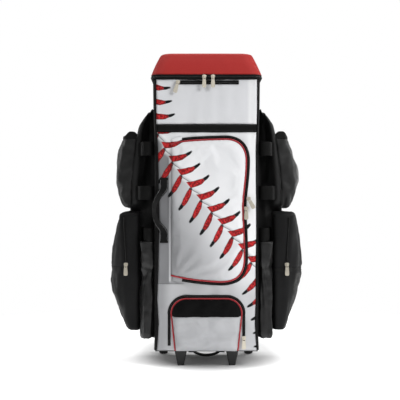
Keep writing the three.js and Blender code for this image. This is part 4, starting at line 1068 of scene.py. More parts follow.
for side, hand in ((-1, "left"), (1, "right")):
    heights = wing_low + (wing_high - wing_low) * wing_shape[:, 0]
    rows = woven([wing_row(side, wing_low, 0.02)] + [wing_row(side, z) for z in heights], 5.5, 5.5, 2)
    rows[..., 2] -= 11 * np.clip((rows[..., 2] - 690) / 55, 0, 1)
    inside = (side * 165, 30, 420)
    off_tower, reach = np.abs(rows[..., 0]) - half_width(rows[..., 2]), wing_reach(rows[..., 2])
    in_groove = np.clip((off_tower - 3) / 6, 0, 1) * np.clip((0.62 * reach - off_tower) / 8, 0, 1)
    in_groove *= np.clip((-rows[..., 1] - 20) / 8, 0, 1)
    lip = off_tower / np.maximum(reach, 1)
    front = np.clip((-rows[..., 1] - 30) / 20, 0, 1) * np.clip((rows[..., 2] - 450) / 40, 0, 1)
    side_cloth = np.clip((rows[..., 1] + 60) / 20, 0, 1)
    bumps = [
        side_cloth * creased(rows, (60, 60, 75), 18 + side) * 1.6,
        in_groove * (uneven(rows, (9, 16, 120), 10 + side) * 6 + creased(rows, (12, 20, 150), 9 + side) * 3),
        np.exp(-(((lip - 0.72) / 0.035) ** 2)) * front * 2.2,
        -np.exp(-(((lip - 0.64) / 0.05) ** 2)) * front * 2.5,
        uneven(rows, (60, 60, 90), 12 + side) * 2.2,
        uneven(rows, (26, 26, 20), 14 + side) * 0.7,
    ]
    ends = np.clip((rows[..., 2] - wing_low) / 12, 0, 1) * np.clip((wing_high - rows[..., 2]) / 8, 0, 1)
    seam = np.minimum(np.arange(rows.shape[1]), np.arange(rows.shape[1])[::-1])
    ends = ends * np.clip(seam / 3, 0, 1)
    rows = soft_shell(rows, inside, [ends * sum(bumps)])
    wing = skin(f"wing_{hand}_padding", rows, inside)
    edges = [v.index for v in wing.data.vertices if ends.ravel()[v.index] < 0.05]
    settle(wing, edges, air=0.8, slack=0.012, reach=3)
    with_wall(wing, 3)
    if hand == "left":
        wing_cloth = black_cloth("wing cloth", 0.007, 1.1, 0.6, 0.3)
    finished(wing, wing_cloth, f"wing_{hand}")

# Bat cups: a slack sleeve of lighter cloth with a floor, sewn between the tower and each wing, that
# takes the barrels of the bats. Empty, it sinks into long folds with a crease across its middle.
cup_shape = np.array([
    (0, 0.9, 3, 0), (0.05, 0.99, 0, 1), (0.22, 0.94, 3, 4), (0.45, 0.9, 6, 6), (0.66, 0.84, 9, 5),
    (0.72, 0.9, 3, 2), (0.9, 0.93, 1, 1), (1, 0.94, 0, 0),
])
cup_low, cup_high = 78, 352.9


def rounded_box(half, front, back, round_front, round_back, step=5):
    """A plan outline with round corners, from its right back corner on, as (x, y) points."""
    behind = (half - round_back, back - round_back, round_back)
    ahead = (half - round_front, front + round_front, round_front)
    corners = [behind, (-behind[0], *behind[1:]), (-ahead[0], *ahead[1:]), ahead]
    points = []
    for quarter, (x, y, radius) in enumerate(corners):
        turn = (quarter + np.linspace(0, 1, step)) * np.pi / 2
        points.append(np.stack([x + radius * np.cos(turn), y + radius * np.sin(turn)], axis=1))
    return np.concatenate(points)


def cup_ring(side, up, shrink=1.0):
    z = cup_low + up * (cup_high - cup_low)
    wide, sunk, fold = (np.interp(up, cup_shape[:, 0], column) for column in cup_shape.T[1:])
    near, far = half_width(z) + 0.7, half_width(z) + 45 * wide
    front, back = -114 + sunk, groove_y - 0.6
    plan = rounded_box((far - near) / 2, front, back, 12, 8)
    across = plan[:, 0] / ((far - near) / 2)
    forward = np.clip((back - plan[:, 1]) / (back - front) - 0.5, 0, 1) * 2
    y = plan[:, 1] + np.maximum(fold * np.sin(2.2 * across + 0.6) * forward, -1)
    middle = np.array([(near + far) / 2, (front + back) / 2])
    x, y = middle[0] + plan[:, 0] * shrink, middle[1] + (y - middle[1]) * shrink
    return np.stack([side * x, y, np.full(len(x), z)], axis=1)


cup_cloth = black_cloth("bat cup cloth", 0.004, 1.3, 0.4, 0.42, 0.14)
for side, hand in ((-1, "left"), (1, "right")):
    table = [cup_ring(side, 0, 0.03), cup_ring(side, 0, 0.5), cup_ring(side, 0, 0.93)]
    table += [cup_ring(side, up) for up in (0.012, *cup_shape[1:, 0])]
    rows = woven(table, 4, 5, 1, ring=True)
    inside = (side * 169, -70, 220)
    up = np.clip((rows[..., 2] - cup_low) / (cup_high - cup_low), 0, 1)
    loose = np.sin(np.pi * np.clip(up * 0.94 + 0.06, 0, 1)) ** 0.6 * np.clip((-rows[..., 1] - 40) / 30, 0, 1)
    gathers = np.clip((0.34 - up) / 0.2, 0, 1) * np.clip(up / 0.03, 0, 1)
    bumps = [
        loose * creased(rows, (17, 34, 130), 20 + side) * 5 - loose * 3,
        loose * uneven(rows, (18, 30, 150), 20 + side) * 4.5,
        loose * creased(rows, (34, 34, 30), 22 + side) * 1.4,
        loose * gathers * uneven(rows, (8, 14, 70), 24 + side) * 5,
        -loose * np.exp(-(((rows[..., 2] - 278 - 0.25 * (np.abs(rows[..., 0]) - 165)) / 7) ** 2)) * 4,
    ]
    rows = soft_shell(rows, inside, bumps, ring=True)
    rows[..., 1] = np.maximum(rows[..., 1], -118)
    rows[..., 0] = side * np.maximum(np.abs(rows[..., 0]), half_width(rows[..., 2]) + 0.4)
    cup = skin(f"bat_cup_{hand}_sleeve", rows, inside, True, (0,))
    with_wall(cup, 1.5)
    finished(cup, cup_cloth, f"bat_cup_{hand}")
    cut_size(rows, True)

# Bat loops: three lengths of wide webbing on each side, sewn to the tower's side and to the front of the
# wing, which hold the bats in the groove.
loop_tall, loop_heights = 39, (617, 492, 372.7)


def strap(name, line, across, wide, thick):
    """Webbing along a line of points in mm, its width along across; its edges are a little rounded."""
    line = np.array(line, float)
    along = unit(np.gradient(line, axis=0))
    across = np.broadcast_to(np.array(across, float), line.shape)
    across = unit(across - along * (across * along).sum(axis=1, keepdims=True))
    out = np.cross(along, across)
    flat = np.linspace(-0.46, 0.46, 9)
    profile = [(s, 0.5) for s in flat] + [(0.5, 0.2), (0.5, -0.2)]
    profile += [(-s, -t) for s, t in profile]
    rows = np.stack([line + across * wide * s + out * thick * t for s, t in profile], axis=1)
    piece = skin(name, rows, line.mean(axis=0), ring=True)
    closed_up(piece.data)
    piece.data.set_sharp_from_angle(angle=0.9)
    return piece


def wing_front(x, z):
    """How far forward the wing's front is at a distance from the bag's middle."""
    row = np.array(wing_row(1, z))[:6]
    return float(np.interp(x, row[:, 0], row[:, 1]))


loop_webbing = webbing_finish("bat loop webbing", 0.0045, 1.7, 0.1)
for side, hand in ((-1, "left"), (1, "right")):
    for number, centre in enumerate(loop_heights, 1):
        half = float(half_width(centre))
        x0 = half + 1.9
        landing = half + min(wing_reach(centre) * 0.66, 33 if centre < 432 else 47)
        seat = min(wing_front(landing, centre), wing_front(landing + 9, centre)) - 1.9
        plan = [
            (x0, -81), (x0, -97), (x0 + 3, -107), (x0 + 10, -112), ((x0 + landing) / 2, -113.5),
            (landing - 8, -110), (landing - 2, -102), (landing + 1.5, seat - 2), (landing + 9, seat),
        ]
        line = evenly(np.array([(side * x, y, centre) for x, y in plan]), 3)
        for _ in range(2):
            line[1:-1] = (line[:-2] + 2 * line[1:-1] + line[2:]) / 4
        loop = strap(f"bat_loop_{hand}_{number}_webbing", line, (0, 0, 1), loop_tall, 2)
        rows = np.array([v.co for v in loop.data.vertices]) / mm
        rows[:, 1] -= 1.0 * np.sin(np.pi * (rows[:, 2] - centre + loop_tall / 2) / loop_tall)
        loop.data.vertices.foreach_set("co", (rows * mm).ravel())
        finished(loop, loop_webbing, f"bat_loop_{hand}_{number}")

# Bottle pockets: an open-topped pocket on the outside of each wing, its front gusset of black cloth
# and its side of open mesh, gathered at the foot and bound at the mouth with a wide black hem.
bottle_left = np.array([(0, 12), (0.05, 23), (0.17, 34), (0.38, 44), (0.62, 47.5), (0.85, 47.5), (1, 42)])
bottle_right = np.array([(0, 14), (0.05, 25), (0.17, 37), (0.38, 52), (0.62, 52), (0.85, 42), (1, 36)])
bottle = {"front": -62, "back": 64, "low": 452, "high": 648, "hem": 10}


def bottle_row(side, up, z, grow=0.0, seated=1.0):
    table = bottle_left if side < 0 else bottle_right
    out = np.interp(up, table[:, 0], table[:, 1]) + grow
    y0, y1 = bottle["front"] - grow, bottle["back"] + grow
    plan = [
        (-3, y0), (out * 0.66, y0), (out * 0.8, y0 + 7), (out * 0.95, y0 + 0.27 * (y1 - y0)),
        (out, (y0 + y1) / 2), (out * 0.95, y0 + 0.73 * (y1 - y0)),
        (out * 0.8, y1 - 7), (out * 0.6, y1), (-3, y1),
    ]
    return [(side * (wing_outer(z) + 0.3 + x * seated), y, z) for x, y in plan]


def mesh_finish(name, pale, open_from):
    """Open knitted mesh, with round holes, beside a close-woven gusset; how far back a point is tells them apart.
    """
    finish = Finish(name, sheen_weight=0.08, sheen_roughness=0.35, specular_ior_level=0.4)
    u, v = finish.laid()
    x, y, z = finish.place()
    turn = 2 * np.pi / 3.8
    cell = u.sum("SINE", u * turn) * v.sum("SINE", v * turn * 1.15)
    cell = cell + u.sum("SINE", (u + v * 1.15) * turn * 0.5) * 0.3
    on_side = (y + finish.cloudy(30, 1, 2) * 4).between(-44, -41)
    hole = cell.between(open_from, open_from + 0.14) * on_side
    threads = cell * 0.5 + 0.5
    clouds = finish.cloudy(20, 3, 6)
    # Light specks in the knit are painted glints.
    painted_glints = finish.cloudy(5, 2, 8).between(0.5, 0.66)
    knit = finish.mix(clouds * 0.4 + painted_glints * 0.6, (pale * 0.25,) * 3, (pale * 2.6,) * 3)
    # Pale patches on the mesh near its outer edge are painted highlights on its crumples.
    painted_crumple_highlights = finish.cloudy(16, 4, 15).between(0.53, 0.62) * abs(x).between(236, 262)
    knit = finish.mix(painted_crumple_highlights * min(pale * 12, 1), knit, (0.3, 0.3, 0.295))
    cloth = finish.mix(clouds, (0.003, 0.003, 0.003), (0.008, 0.008, 0.008))
    finish.set("Base Color", finish.mix(on_side, cloth, knit))
    finish.set("Roughness", 0.62 - 0.15 * clouds)
    finish.set("Alpha", 1 - hole)
    finish.raise_by(threads + clouds, 0.25)
    return finish.material


hem_webbing = webbing_finish("hem webbing", 0.007)
for side, hand in ((-1, "left"), (1, "right")):
    inside = (side * 215, 0, 540)
    ups = (0, 0.05, 0.17, 0.38, 0.62, 0.85, 1)
    heights = [bottle["low"] + up * (bottle["high"] - bottle["low"]) for up in ups]
    table = [bottle_row(side, 0, bottle["low"], 0, 0.03)]
    table += [bottle_row(side, up, z) for up, z in zip(ups, heights)]
    rows = woven(table, 4.5, 5, 2)
    up = np.clip((rows[..., 2] - bottle["low"]) / (bottle["high"] - bottle["low"]), 0, 1)
    held = np.clip(np.minimum(np.arange(rows.shape[1]), np.arange(rows.shape[1])[::-1]) / 4, 0, 1)[None, :]
    held = held * np.clip((1 - up) / 0.08, 0, 1)
    bumps = [
        held * uneven(rows, (18, 18, 60), 30 + side) * 4.5,
        held * np.clip(0.25 - up, 0, 1) * 4 * uneven(rows, (9, 11, 40), 32 + side) * 4.5,
        held * uneven(rows, (22, 22, 24), 34 + side) * 1.8,
    ]
    rows = soft_shell(rows, inside, bumps)
    sack = skin(f"bottle_pocket_{hand}_mesh", rows, inside)
    border = [i for i, h in enumerate(held.ravel()) if h < 0.1]
    settle(sack, border, air=0.5, slack=0.02, reach=3)
    with_wall(sack, 0.9)
    # The right pocket's knit is painted lighter than the left's, painted light on the side facing the lamp; the
    # right also has more open holes.
    painted_light_and_holes = (0.016, 0.2) if side < 0 else (0.05, -0.15)
    netting = mesh_finish(f"bottle pocket mesh {hand}", *painted_light_and_holes)
    finished(sack, netting, f"bottle_pocket_{hand}")
    cut_size(rows)
    levels = [bottle["high"] + 0.3 + t * bottle["hem"] for t in (0, 0.12, 0.5, 0.88, 1)]
    puff = (0.1, 0.7, 1.1, 0.7, 0.1)
    hem_rows = woven([bottle_row(side, 1, z, p) for z, p in zip(levels, puff)], 4, 2.5, 0)
    hem_rows[..., 2] += uneven(hem_rows, (40, 40, 400), 36 + side) * 2
    along_hem = (np.abs(hem_rows[..., 0]) - wing_outer(bottle["high"]) - 12) / 15
    bunched = np.exp(-(along_hem**4)) * (hem_rows[..., 1] < -30)
    hem_rows[..., 2] += bunched * 11 * np.linspace(0, 1, len(hem_rows))[:, None]
    hem = with_wall(skin(f"bottle_hem_{hand}_binding", hem_rows, inside), 2.2)
    finished(hem, hem_webbing, f"bottle_hem_{hand}")

# Side pockets: a large zipped pocket round the front corner of each wing. Its flat front face and its
# bulging side meet at a seam with the zip, and a strip of webbing crosses it under the zip's end.
side_tables = {
    -1: np.array([
        (0, 85, 72), (0.09, 97, 80), (0.2, 114, 86), (0.31, 127, 89), (0.43, 132.5, 91), (0.53, 133.5, 92),
        (0.62, 132, 93), (0.78, 124, 96), (0.9, 114, 99), (1, 104, 99),
    ]),
    1: np.array([
        (0, 83, 72), (0.09, 91, 80), (0.2, 106, 86), (0.31, 121, 89), (0.43, 131, 91), (0.53, 134.5, 92),
        (0.62, 134.5, 93), (0.78, 130, 96), (0.9, 123, 99), (1, 114, 99),
    ]),
}
side_pocket = {"front": -80, "back": 86, "low": 98, "high": 432, "rise": 8}


def side_row(side, z):
    table = side_tables[side]
    up = (z - side_pocket["low"]) / (side_pocket["high"] - side_pocket["low"])
    base, wing = float(half_width(z)), float(wing_outer(z)) + 0.3
    outer = base + np.interp(up, table[:, 0], table[:, 1])
    edge = base + np.interp(up, table[:, 0], table[:, 2])
    out, x0, y0, y1 = outer - wing, base + 45.3, side_pocket["front"], side_pocket["back"]
    plan = [
        (x0, groove_y - 0.3), (x0, y0 + 5), (x0 + 4, y0), (edge - 3, y0), (edge + 2, y0 + 4),
        (edge + (outer - edge) * 0.62, y0 + (y1 - y0) * 0.14), (outer - out * 0.06, y0 + (y1 - y0) * 0.33),
        (outer, y0 + (y1 - y0) * 0.52), (outer - out * 0.1, y0 + (y1 - y0) * 0.73),
        (outer - out * 0.42, y0 + (y1 - y0) * 0.94), (wing + out * 0.25, y1), (wing, y1),
    ]
    return [(side * x, y, z) for x, y in plan]


def side_seat(side, z, seat):
    """The pocket's row drawn back onto the wing that carries it."""
    wing = float(wing_outer(seat)) + 0.3
    row = []
    for x, y, _ in side_row(side, z):
        ahead = abs(x) < wing
        depth = groove_y - 0.3 if ahead else max(y, groove_y - 0.3)
        row.append((x if ahead else side * wing, depth, seat))
    return row


def side_edge(side, z):
    up = (z - side_pocket["low"]) / (side_pocket["high"] - side_pocket["low"])
    return half_width(z) + np.interp(up, side_tables[side][:, 0], side_tables[side][:, 2]) - 5


def knit_finish(name, side):
    """The side pocket's cloth: smooth in front, and with a coarse knit panel low on its outer side."""
    finish = Finish(name, sheen_weight=0.02, sheen_roughness=0.4, specular_ior_level=0.2)
    u, v = finish.laid()
    x, y, z = finish.place()
    threads = weave(finish, 1.1)
    loops = u.sum("SINE", u * (2 * np.pi / 3.6)) * v.sum("SINE", v * (2 * np.pi / 3)) * 0.5 + 0.5
    loops = loops * 0.5 + finish.cloudy(5, 2, 9).between(0.48, 0.66) * 0.5
    # The knit panel shows in full on the right side but only at 0.35 on the left: painted shade on the side away
    # from the light.
    low = (1 - z.between(258, 262)) * y.between(-66, -62) * (1.0 if side > 0 else 0.35)
    clouds = finish.cloudy(40, 3, 5)
    grain = finish.cloudy(4, 1, 6)
    cloth = finish.mix(clouds * 0.6 + grain * 0.4, (0.002, 0.002, 0.0023), (0.006, 0.006, 0.0064))
    knit = finish.mix(loops, (0.003, 0.003, 0.003), (0.07, 0.07, 0.068))
    finish.set("Base Color", finish.mix(low, cloth, knit))
    finish.set("Roughness", 0.68 - 0.1 * clouds)
    wrinkles = finish.cloudy(24, 3, 11)
    finish.raise_by(threads * 0.3 * (1 - low) + loops * low * 1.5 + grain * 0.4 + wrinkles * 6, 0.2)
    return finish.material


strip_webbing = webbing_finish("pocket strip webbing", 0.008)
for side, hand in ((-1, "left"), (1, "right")):
    inside = (side * 215, -10, 260)
    ups = side_tables[side][:, 0]
    low, high = side_pocket["low"], side_pocket["high"]
    heights = [low + up * (high - low) for up in ups]
    table = [side_seat(side, low, low)] + [side_row(side, z) for z in heights]
    table.append(side_seat(side, high, high + side_pocket["rise"]))
    rows = woven(table, 5, 5, 2)
    up = np.clip((rows[..., 2] - low) / (high - low), 0, 1)
    index = np.arange(rows.shape[1])
    held = np.clip(np.minimum(index, index[::-1]) / 4, 0, 1)[None, :] * np.ones(up.shape)
    on_side = np.clip((rows[..., 1] - side_pocket["front"] - 3) / 12, 0, 1)
    on_side *= np.clip((80 - rows[..., 1]) / 20, 0, 1)
    in_front = np.clip((side_pocket["front"] + 6 - rows[..., 1]) / 5, 0, 1)
    below = np.clip((0.5 - up) / 0.1, 0, 1) * np.clip(up / 0.08, 0, 1)
    bumps = [
        held * on_side * uneven(rows, (40, 26, 70), 40 + side) * 3.5,
        held * on_side * creased(rows, (30, 22, 46), 41 + side) * 1.2,
        held * on_side * below * uneven(rows + rows[..., 1:2] * 0.5, (22, 17, 60), 42 + side) * 5,
        held * on_side * uneven(rows, (24, 24, 26), 44 + side) * 1.6,
        -held * on_side * np.exp(-(((rows[..., 2] - 273) / 8) ** 2)) * 3.5,
        held * in_front * uneven(rows, (24, 60, 70), 46 + side) * 2.4,
    ]
    rows = soft_shell(rows, inside, bumps)
    shell = skin(f"side_pocket_{hand}_cloth", rows, inside)
    border = [i for i, h in enumerate(held.ravel()) if h < 0.1]
    flat_front = np.flatnonzero((in_front > 0.9).ravel())
    settle(shell, np.union1d(border, flat_front), air=0.8, slack=0.02, reach=4)
    with_wall(shell, 1.6)
    finished(shell, knit_finish(f"side pocket cloth {hand}", side), f"side_pocket_{hand}")
    cut_size(rows)
    settled = np.array([v.co for v in shell.data.vertices]).reshape(rows.shape) / mm
    at_strip = np.abs(settled[:, 0, 2] - 273).argmin()
    begins = side_edge(side, 273) + (6 if side < 0 else -38)
    level = settled[at_strip]
    crossed = np.flatnonzero((np.abs(level[:, 0]) > begins) & (level[:, 1] < 80))
    strip_rows = woven(settled[at_strip - 1 : at_strip + 2, crossed[0] : crossed[-1] + 1], 4, 2.5)
    strip_rows += away(strip_rows, inside) * 1.3
    strip = with_wall(skin(f"side_pocket_{hand}_strip", strip_rows, inside), 1)
    finished(strip, strip_webbing)
    levels = low + (high - low) * np.linspace(0.57, 0.97, 40)
    x = side * (side_edge(side, levels) - 4)
    line = np.stack([x, np.full(len(x), side_pocket["front"] - 0.7), levels], axis=1)
    closed_zip(f"side_zip_{hand}", f"side_zip_{hand}", line, (0, -1, 0))

# Carry handle: doubled webbing sewn to the left of the front with a tab at each end. It stands off the
# cloth between them and swings out to the side, so that a hand fits behind it.
grab = {"x": -119.5, "low": 351, "high": 534, "wide": 23, "rise": 24, "sweep": 26, "tab": 36}
heights = np.linspace(grab["low"], grab["high"], 48)
free = np.clip((heights - grab["low"] - grab["tab"]) / (grab["high"] - grab["low"] - 2 * grab["tab"]), 0, 1)
bow = np.sin(np.pi * free) ** 0.7
for _ in range(6):
    bow[1:-1] = (bow[:-2] + 2 * bow[1:-1] + bow[2:]) / 4
x = grab["x"] - grab["sweep"] * bow
y = panel_front - 2.1 - grab["rise"] * bow - swell(x, heights)
across = np.stack([np.cos(bow * 0.9), -np.sin(bow * 0.9), np.zeros(len(bow))], axis=1)
grab_line = np.stack([x, y, heights], axis=1)
grab_piece = strap("grab_handle_webbing", grab_line, across, grab["wide"], 2.4)
handle_webbing = webbing_finish("handle webbing", 0.003)
finished(grab_piece, handle_webbing, "grab_handle")
edge_seams = [(grab_line[2:-2] + across[2:-2] * s + (0, -1.25, 0), (0, -1, 0)) for s in (-9.6, 9.6)]
grab_stitches = copies_on("grab_handle_stitches", edge_seams, stitch, stitch_step, pale_thread)
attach(grab_stitches, "bag")

# Base: a moulded plate under the tower with a housing for each wheel, two front feet that are screwed
# through it, and a second handle of webbing slung between them.


def moulded(name, shade, rough=0.5, grain=0.06, tint=(1, 1, 1)):
    """Moulded plastic: an even fine grain, a little dust, and scuffs that shine where it has rubbed."""
    finish = Finish(name, specular_ior_level=0.5)
    fine = finish.cloudy(0.9, 2, 1)
    dust = finish.cloudy(30, 4, 3)
    scuff = finish.cloudy(7, 3, 8).between(0.62, 0.75)
    dark, light = [shade * 0.8 * t for t in tint], [shade * 1.35 * t for t in tint]
    finish.set("Base Color", finish.mix(dust * 0.7 + scuff * 0.3, dark, light))
    finish.set("Roughness", rough + 0.15 * dust - 0.12 * scuff)
    finish.raise_by(fine, grain)
    return finish.material


def dressed(name, material, slot):
    """A CAD node that keeps its shape, given its finish."""
    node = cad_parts[name]
    node.data.materials.clear()
    node.data.materials.append(material)
    return node


black_plastic = moulded("black moulded plastic", 0.011)
for name in ("base_tray", "front_foot_left", "front_foot_right", "trolley_bezel"):
    dressed(name, black_plastic, "black_plastic")
steel = Finish("axle steel", metallic=1.0)
turned_marks = steel.cloudy(1.2, 1, 2)
steel.set("Base Color", steel.mix(turned_marks, (0.35, 0.35, 0.36), (0.5, 0.5, 0.52)))
steel.set("Roughness", 0.25 + 0.15 * turned_marks)
for hand in ("left", "right"):
    dressed(f"axle_{hand}", steel.material, "axle_steel")

base_y, base_drop, base_half = -98, 12, 37
t = np.linspace(-1, 1, 40)
bowed = np.stack([base_half * t, np.full(40, base_y), 42.35 - base_drop * (1 - t * t) ** 0.8], axis=1)
tabs = [(-51, base_y, 42.35)], [(51, base_y, 42.35)]
base_line = evenly(np.concatenate([tabs[0], bowed, tabs[1]]), 2.5)
base_piece = strap("base_handle_webbing", base_line, (0, 1, 0), 32, 3.3)
finished(base_piece, handle_webbing, "base_handle")

# Wheels: a grey moulded hub with five spokes and a grooved black rubber tyre, each on a steel axle
# across its housing. They turn on their own bodies.
wheel_x, wheel_y, wheel_radius = 130, 115, 42


def turned(name, profile, side, sides=72, ribs=None):
    """A ring turned about the wheel's axle from (radius, x) pairs in mm; ribs changes the radius by angle."""
    profile = np.array(profile, float)
    angle = 2 * np.pi * np.arange(sides) / sides
    radius = profile[:, :1] + (ribs(profile, angle) if ribs else 0)
    rows = np.stack([
        np.repeat(profile[:, 1:], sides, axis=1) + side * wheel_x,
        wheel_y + radius * np.cos(angle), wheel_radius + radius * np.sin(angle),
    ], axis=2)
    faces = []
    count = len(profile)
    for r in range(count):
        for i in range(sides):
            a, b = r * sides + i, r * sides + (i + 1) % sides
            c, d = (r + 1) % count * sides + (i + 1) % sides, (r + 1) % count * sides + i
            faces.append((a, b, c, d))
    mesh = bpy.data.meshes.new(name)
    mesh.from_pydata((rows.reshape(-1, 3) * mm).tolist(), [], faces)
    closed_up(mesh)
    mesh.set_sharp_from_angle(angle=0.7)
    return placed(name, mesh)


def tread(profile, angle):
    on_tread = (profile[:, :1] > 41.2).astype(float)
    grooves = np.clip(np.sin(angle * 24)[None, :] * 3 - 1.8, 0, 1)
    return -0.7 * on_tread * grooves


tyre_half = [
    (31.4, -12), (34, -12.8), (37, -13), (39.6, -12.2), (41, -10),
    (41.6, -7), (42, -4), (41.9, -1.2), (40.9, -0.8),
]
hub_half = [
    (4.7, -13.6), (9, -13.8), (10.2, -13), (11, -9), (13, -5.6),
    (23.5, -5.2), (25, -9), (26.2, -11.8), (30.9, -12),
]
tyre_profile = tyre_half + [(r, -across) for r, across in tyre_half[::-1]]
hub_profile = hub_half + [(r, -across) for r, across in hub_half[::-1]]
rubber = moulded("tyre rubber", 0.013, 0.75, 0.12)
hub_plastic = moulded("hub plastic", 0.07, 0.45, 0.05, (1, 1.01, 1.03))
for side, hand in ((-1, "left"), (1, "right")):
    tyre = turned(f"wheel_{hand}_tyre", tyre_profile, side, 144, tread)
    hub = turned(f"wheel_{hand}_hub", hub_profile, side)
    shape = bmesh.new()
    shape.from_mesh(hub.data)
    for face_side in (-1, 1):
        for spoke in range(5):
            made = bmesh.ops.create_cube(shape, size=1)["verts"]
            for v in made:
                long, wide, thick = v.co
                r = (17.5 + long * 14) * mm
                w = wide * (6 - 3.5 * (long + 0.5)) * mm
                a = 2 * np.pi * spoke / 5 + 0.3
                v.co = (
                    side * wheel_x * mm + (face_side * 7.2 + thick * 4.6) * mm,
                    wheel_y * mm + r * np.cos(a) - w * np.sin(a),
                    wheel_radius * mm + r * np.sin(a) + w * np.cos(a),
                )
            bmesh.ops.recalc_face_normals(shape, faces=list({f for v in made for f in v.link_faces}))
    shape.to_mesh(hub.data)
    shape.free()
    hub.data.set_sharp_from_angle(angle=0.6)
    finished(tyre, rubber, f"wheel_tyre_{hand}", f"wheel_{hand}")
    finished(hub, hub_plastic, f"wheel_hub_{hand}", f"wheel_{hand}")

# Pull-out handle: two aluminium tubes fixed to the back in a moulded bezel, with the slimmer tubes of
# the grip sliding in them. The grip is soft-touch plastic with a release button in its top.
aluminium = Finish("brushed aluminium", metallic=1.0)
x, y, z = aluminium.place()
drawn_out = aluminium.node("ShaderNodeCombineXYZ", None, [x * 1.6, y * 1.6, z * 0.03])
brushed = aluminium.node(
    "ShaderNodeTexNoise", {"noise_dimensions": "3D"}, {"Vector": drawn_out, "Scale": 1.0, "Detail": 3}
)
aluminium.set("Base Color", aluminium.mix(brushed, (0.42, 0.425, 0.44), (0.62, 0.63, 0.65)))
aluminium.set("Roughness", 0.28 + 0.2 * brushed)
for name in ("trolley_tube_left", "trolley_tube_right", "handle_tube_left", "handle_tube_right"):
    dressed(name, aluminium.material, "tube_aluminium")
grip_plastic = moulded("grip plastic", 0.016, 0.55, 0.1)
grip_low, grip_y = 814.6, 112.6
grip_shape = [
    (0.74, 0), (0.86, 0.03), (0.95, 0.12), (1, 0.3),
    (1, 0.55), (0.97, 0.78), (0.89, 0.92), (0.78, 1),
]
rows = []
for share, up in [(0.05, 0), *grip_shape, (0.4, 1.0), (0.05, 1.0)]:
    half, deep = 80 * (0.9 + 0.1 * share) if share > 0.5 else 80 * share, 11.5 * share
    plan = rounded_box(half, -deep, deep, deep * 0.8, deep * 0.8, 7)
    dent = 1.2 * np.cos(plan[:, 0] / 9.5) * (np.abs(plan[:, 0]) < 50) * (plan[:, 1] < 0) * (0.2 < up < 0.9)
    level = np.full(len(plan), grip_low + up * 27)
    rows.append(np.stack([plan[:, 0], plan[:, 1] + dent * 0.6 + grip_y, level], axis=1))
grip = skin("handle_grip_bar", woven(rows, 3, 2.2, 0, ring=True), (0, grip_y, grip_low + 13), True, (0, -1))
finished(grip, grip_plastic, "handle_grip", "handle")
dressed("handle_button", hub_plastic, "hub_plastic")

# Top zip: a wide band of black tape between the tower's rim and the lid, with its coil round the
# middle of it. The band stands out a little, as the lid presses it together.
rim = tower["rim"] + 0.3


def zip_ring(grow, z):
    plan = rounded_box(half_width(tower["rim"]) + grow, -124 - grow, 98 + grow / 4, 30, 24, 9)
    return np.stack([plan[:, 0], plan[:, 1], np.full(len(plan), z)], axis=1)


levels = [(2, 0), (3.6, 2), (5.2, 5), (5.7, 6.6), (6, 7), (5.7, 7.4), (5.4, 9), (5.2, 12), (4.8, 14)]
rows = woven([zip_ring(grow, rim + up) for grow, up in levels], 5, 1.8, 0, ring=True)
rows = soft_shell(rows, (0, -10, 818), [uneven(rows, (30, 30, 60), 50) * 0.7], ring=True)
top_band = with_wall(skin("top_zip_band", rows, (0, -10, 818), ring=True), 3)
finished(top_band, tape_cloth, "top_zip")
ring = zip_ring(6.2, rim + 7)
ring = np.concatenate([ring, ring[:1]])
outs = np.cross(np.gradient(ring, axis=0), (0, 0, 1))
outs /= np.maximum(np.linalg.norm(outs, axis=1, keepdims=True), 1e-9)
top_coil = copies_on("top_zip_coil", [(ring, outs)], coil, coil_pitch, coil_plastic.material)
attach(top_coil, "bag")

# Lid: a red cap moulded in foam-backed vinyl, hollow underneath, whose walls lean in to a softly
# rounded top. Its skin has a fine leather grain.
lid_low, lid_tall = 825.3, 64.5
lid_shape = np.array([
    (0, 1.052, 0.018, 0.004, 36), (0.29, 1.006, -0.022, -0.012, 36), (0.57, 0.957, -0.062, -0.03, 36),
    (0.76, 0.92, -0.092, -0.045, 36), (0.92, 0.888, -0.116, -0.06, 35), (0.98, 0.868, -0.13, -0.074, 34),
    (1, 0.828, -0.158, -0.1, 32),
])
rows = []
for up in (0, 0.03, 0.1, 0.2, 0.29, 0.38, 0.48, 0.57, 0.66, 0.76, 0.84, 0.92, 0.95, 0.98, 0.992, 1):
    wide, front, back, corner = (np.interp(up, lid_shape[:, 0], column) for column in lid_shape.T[1:])
    plan = rounded_box(150 * wide, -125 - front * 225, 100 + back * 225, corner, corner, 12)
    rows.append(np.stack([plan[:, 0], plan[:, 1], np.full(len(plan), lid_low + up * lid_tall)], axis=1))
top = rows[-1]
for share in (0.93, 0.8, 0.55, 0.25, 0.02):
    inner = top.mean(axis=0) + (top - top.mean(axis=0)) * share
    inner[:, 2] = lid_low + lid_tall + (0.6 if share < 0.9 else 0.3)
    rows.append(inner)
rows = woven(rows, 5, 4, 1, ring=True)
rows = soft_shell(rows, (0, -10, 850), [uneven(rows, (80, 80, 50), 52) * 0.8], ring=True)
lid = with_wall(skin("lid_cap", rows, (0, -10, 850), True, (-1,)), 3)
lid_skin = Finish("red lid skin", specular_ior_level=0.16)
pebbles = lid_skin.node(
    "ShaderNodeTexVoronoi", {"feature": "SMOOTH_F1"},
    {"Vector": lid_skin.node("ShaderNodeTexCoord", output="Object"), "Scale": 520.0, "Smoothness": 0.6},
)
x, y, z = lid_skin.place()
clouds = lid_skin.cloudy(40, 3, 3)
on_top = z.between(884, 890)
red = lid_skin.mix(clouds * 0.5 + pebbles * 0.5, (0.33, 0.014, 0.014), (0.45, 0.03, 0.024))
worn = lid_skin.mix(clouds, (0.45, 0.06, 0.05), (0.6, 0.11, 0.09))
lid_skin.set("Base Color", lid_skin.mix(on_top * 0.75, red, worn))
lid_skin.set("Roughness", 0.45 + 0.12 * clouds)
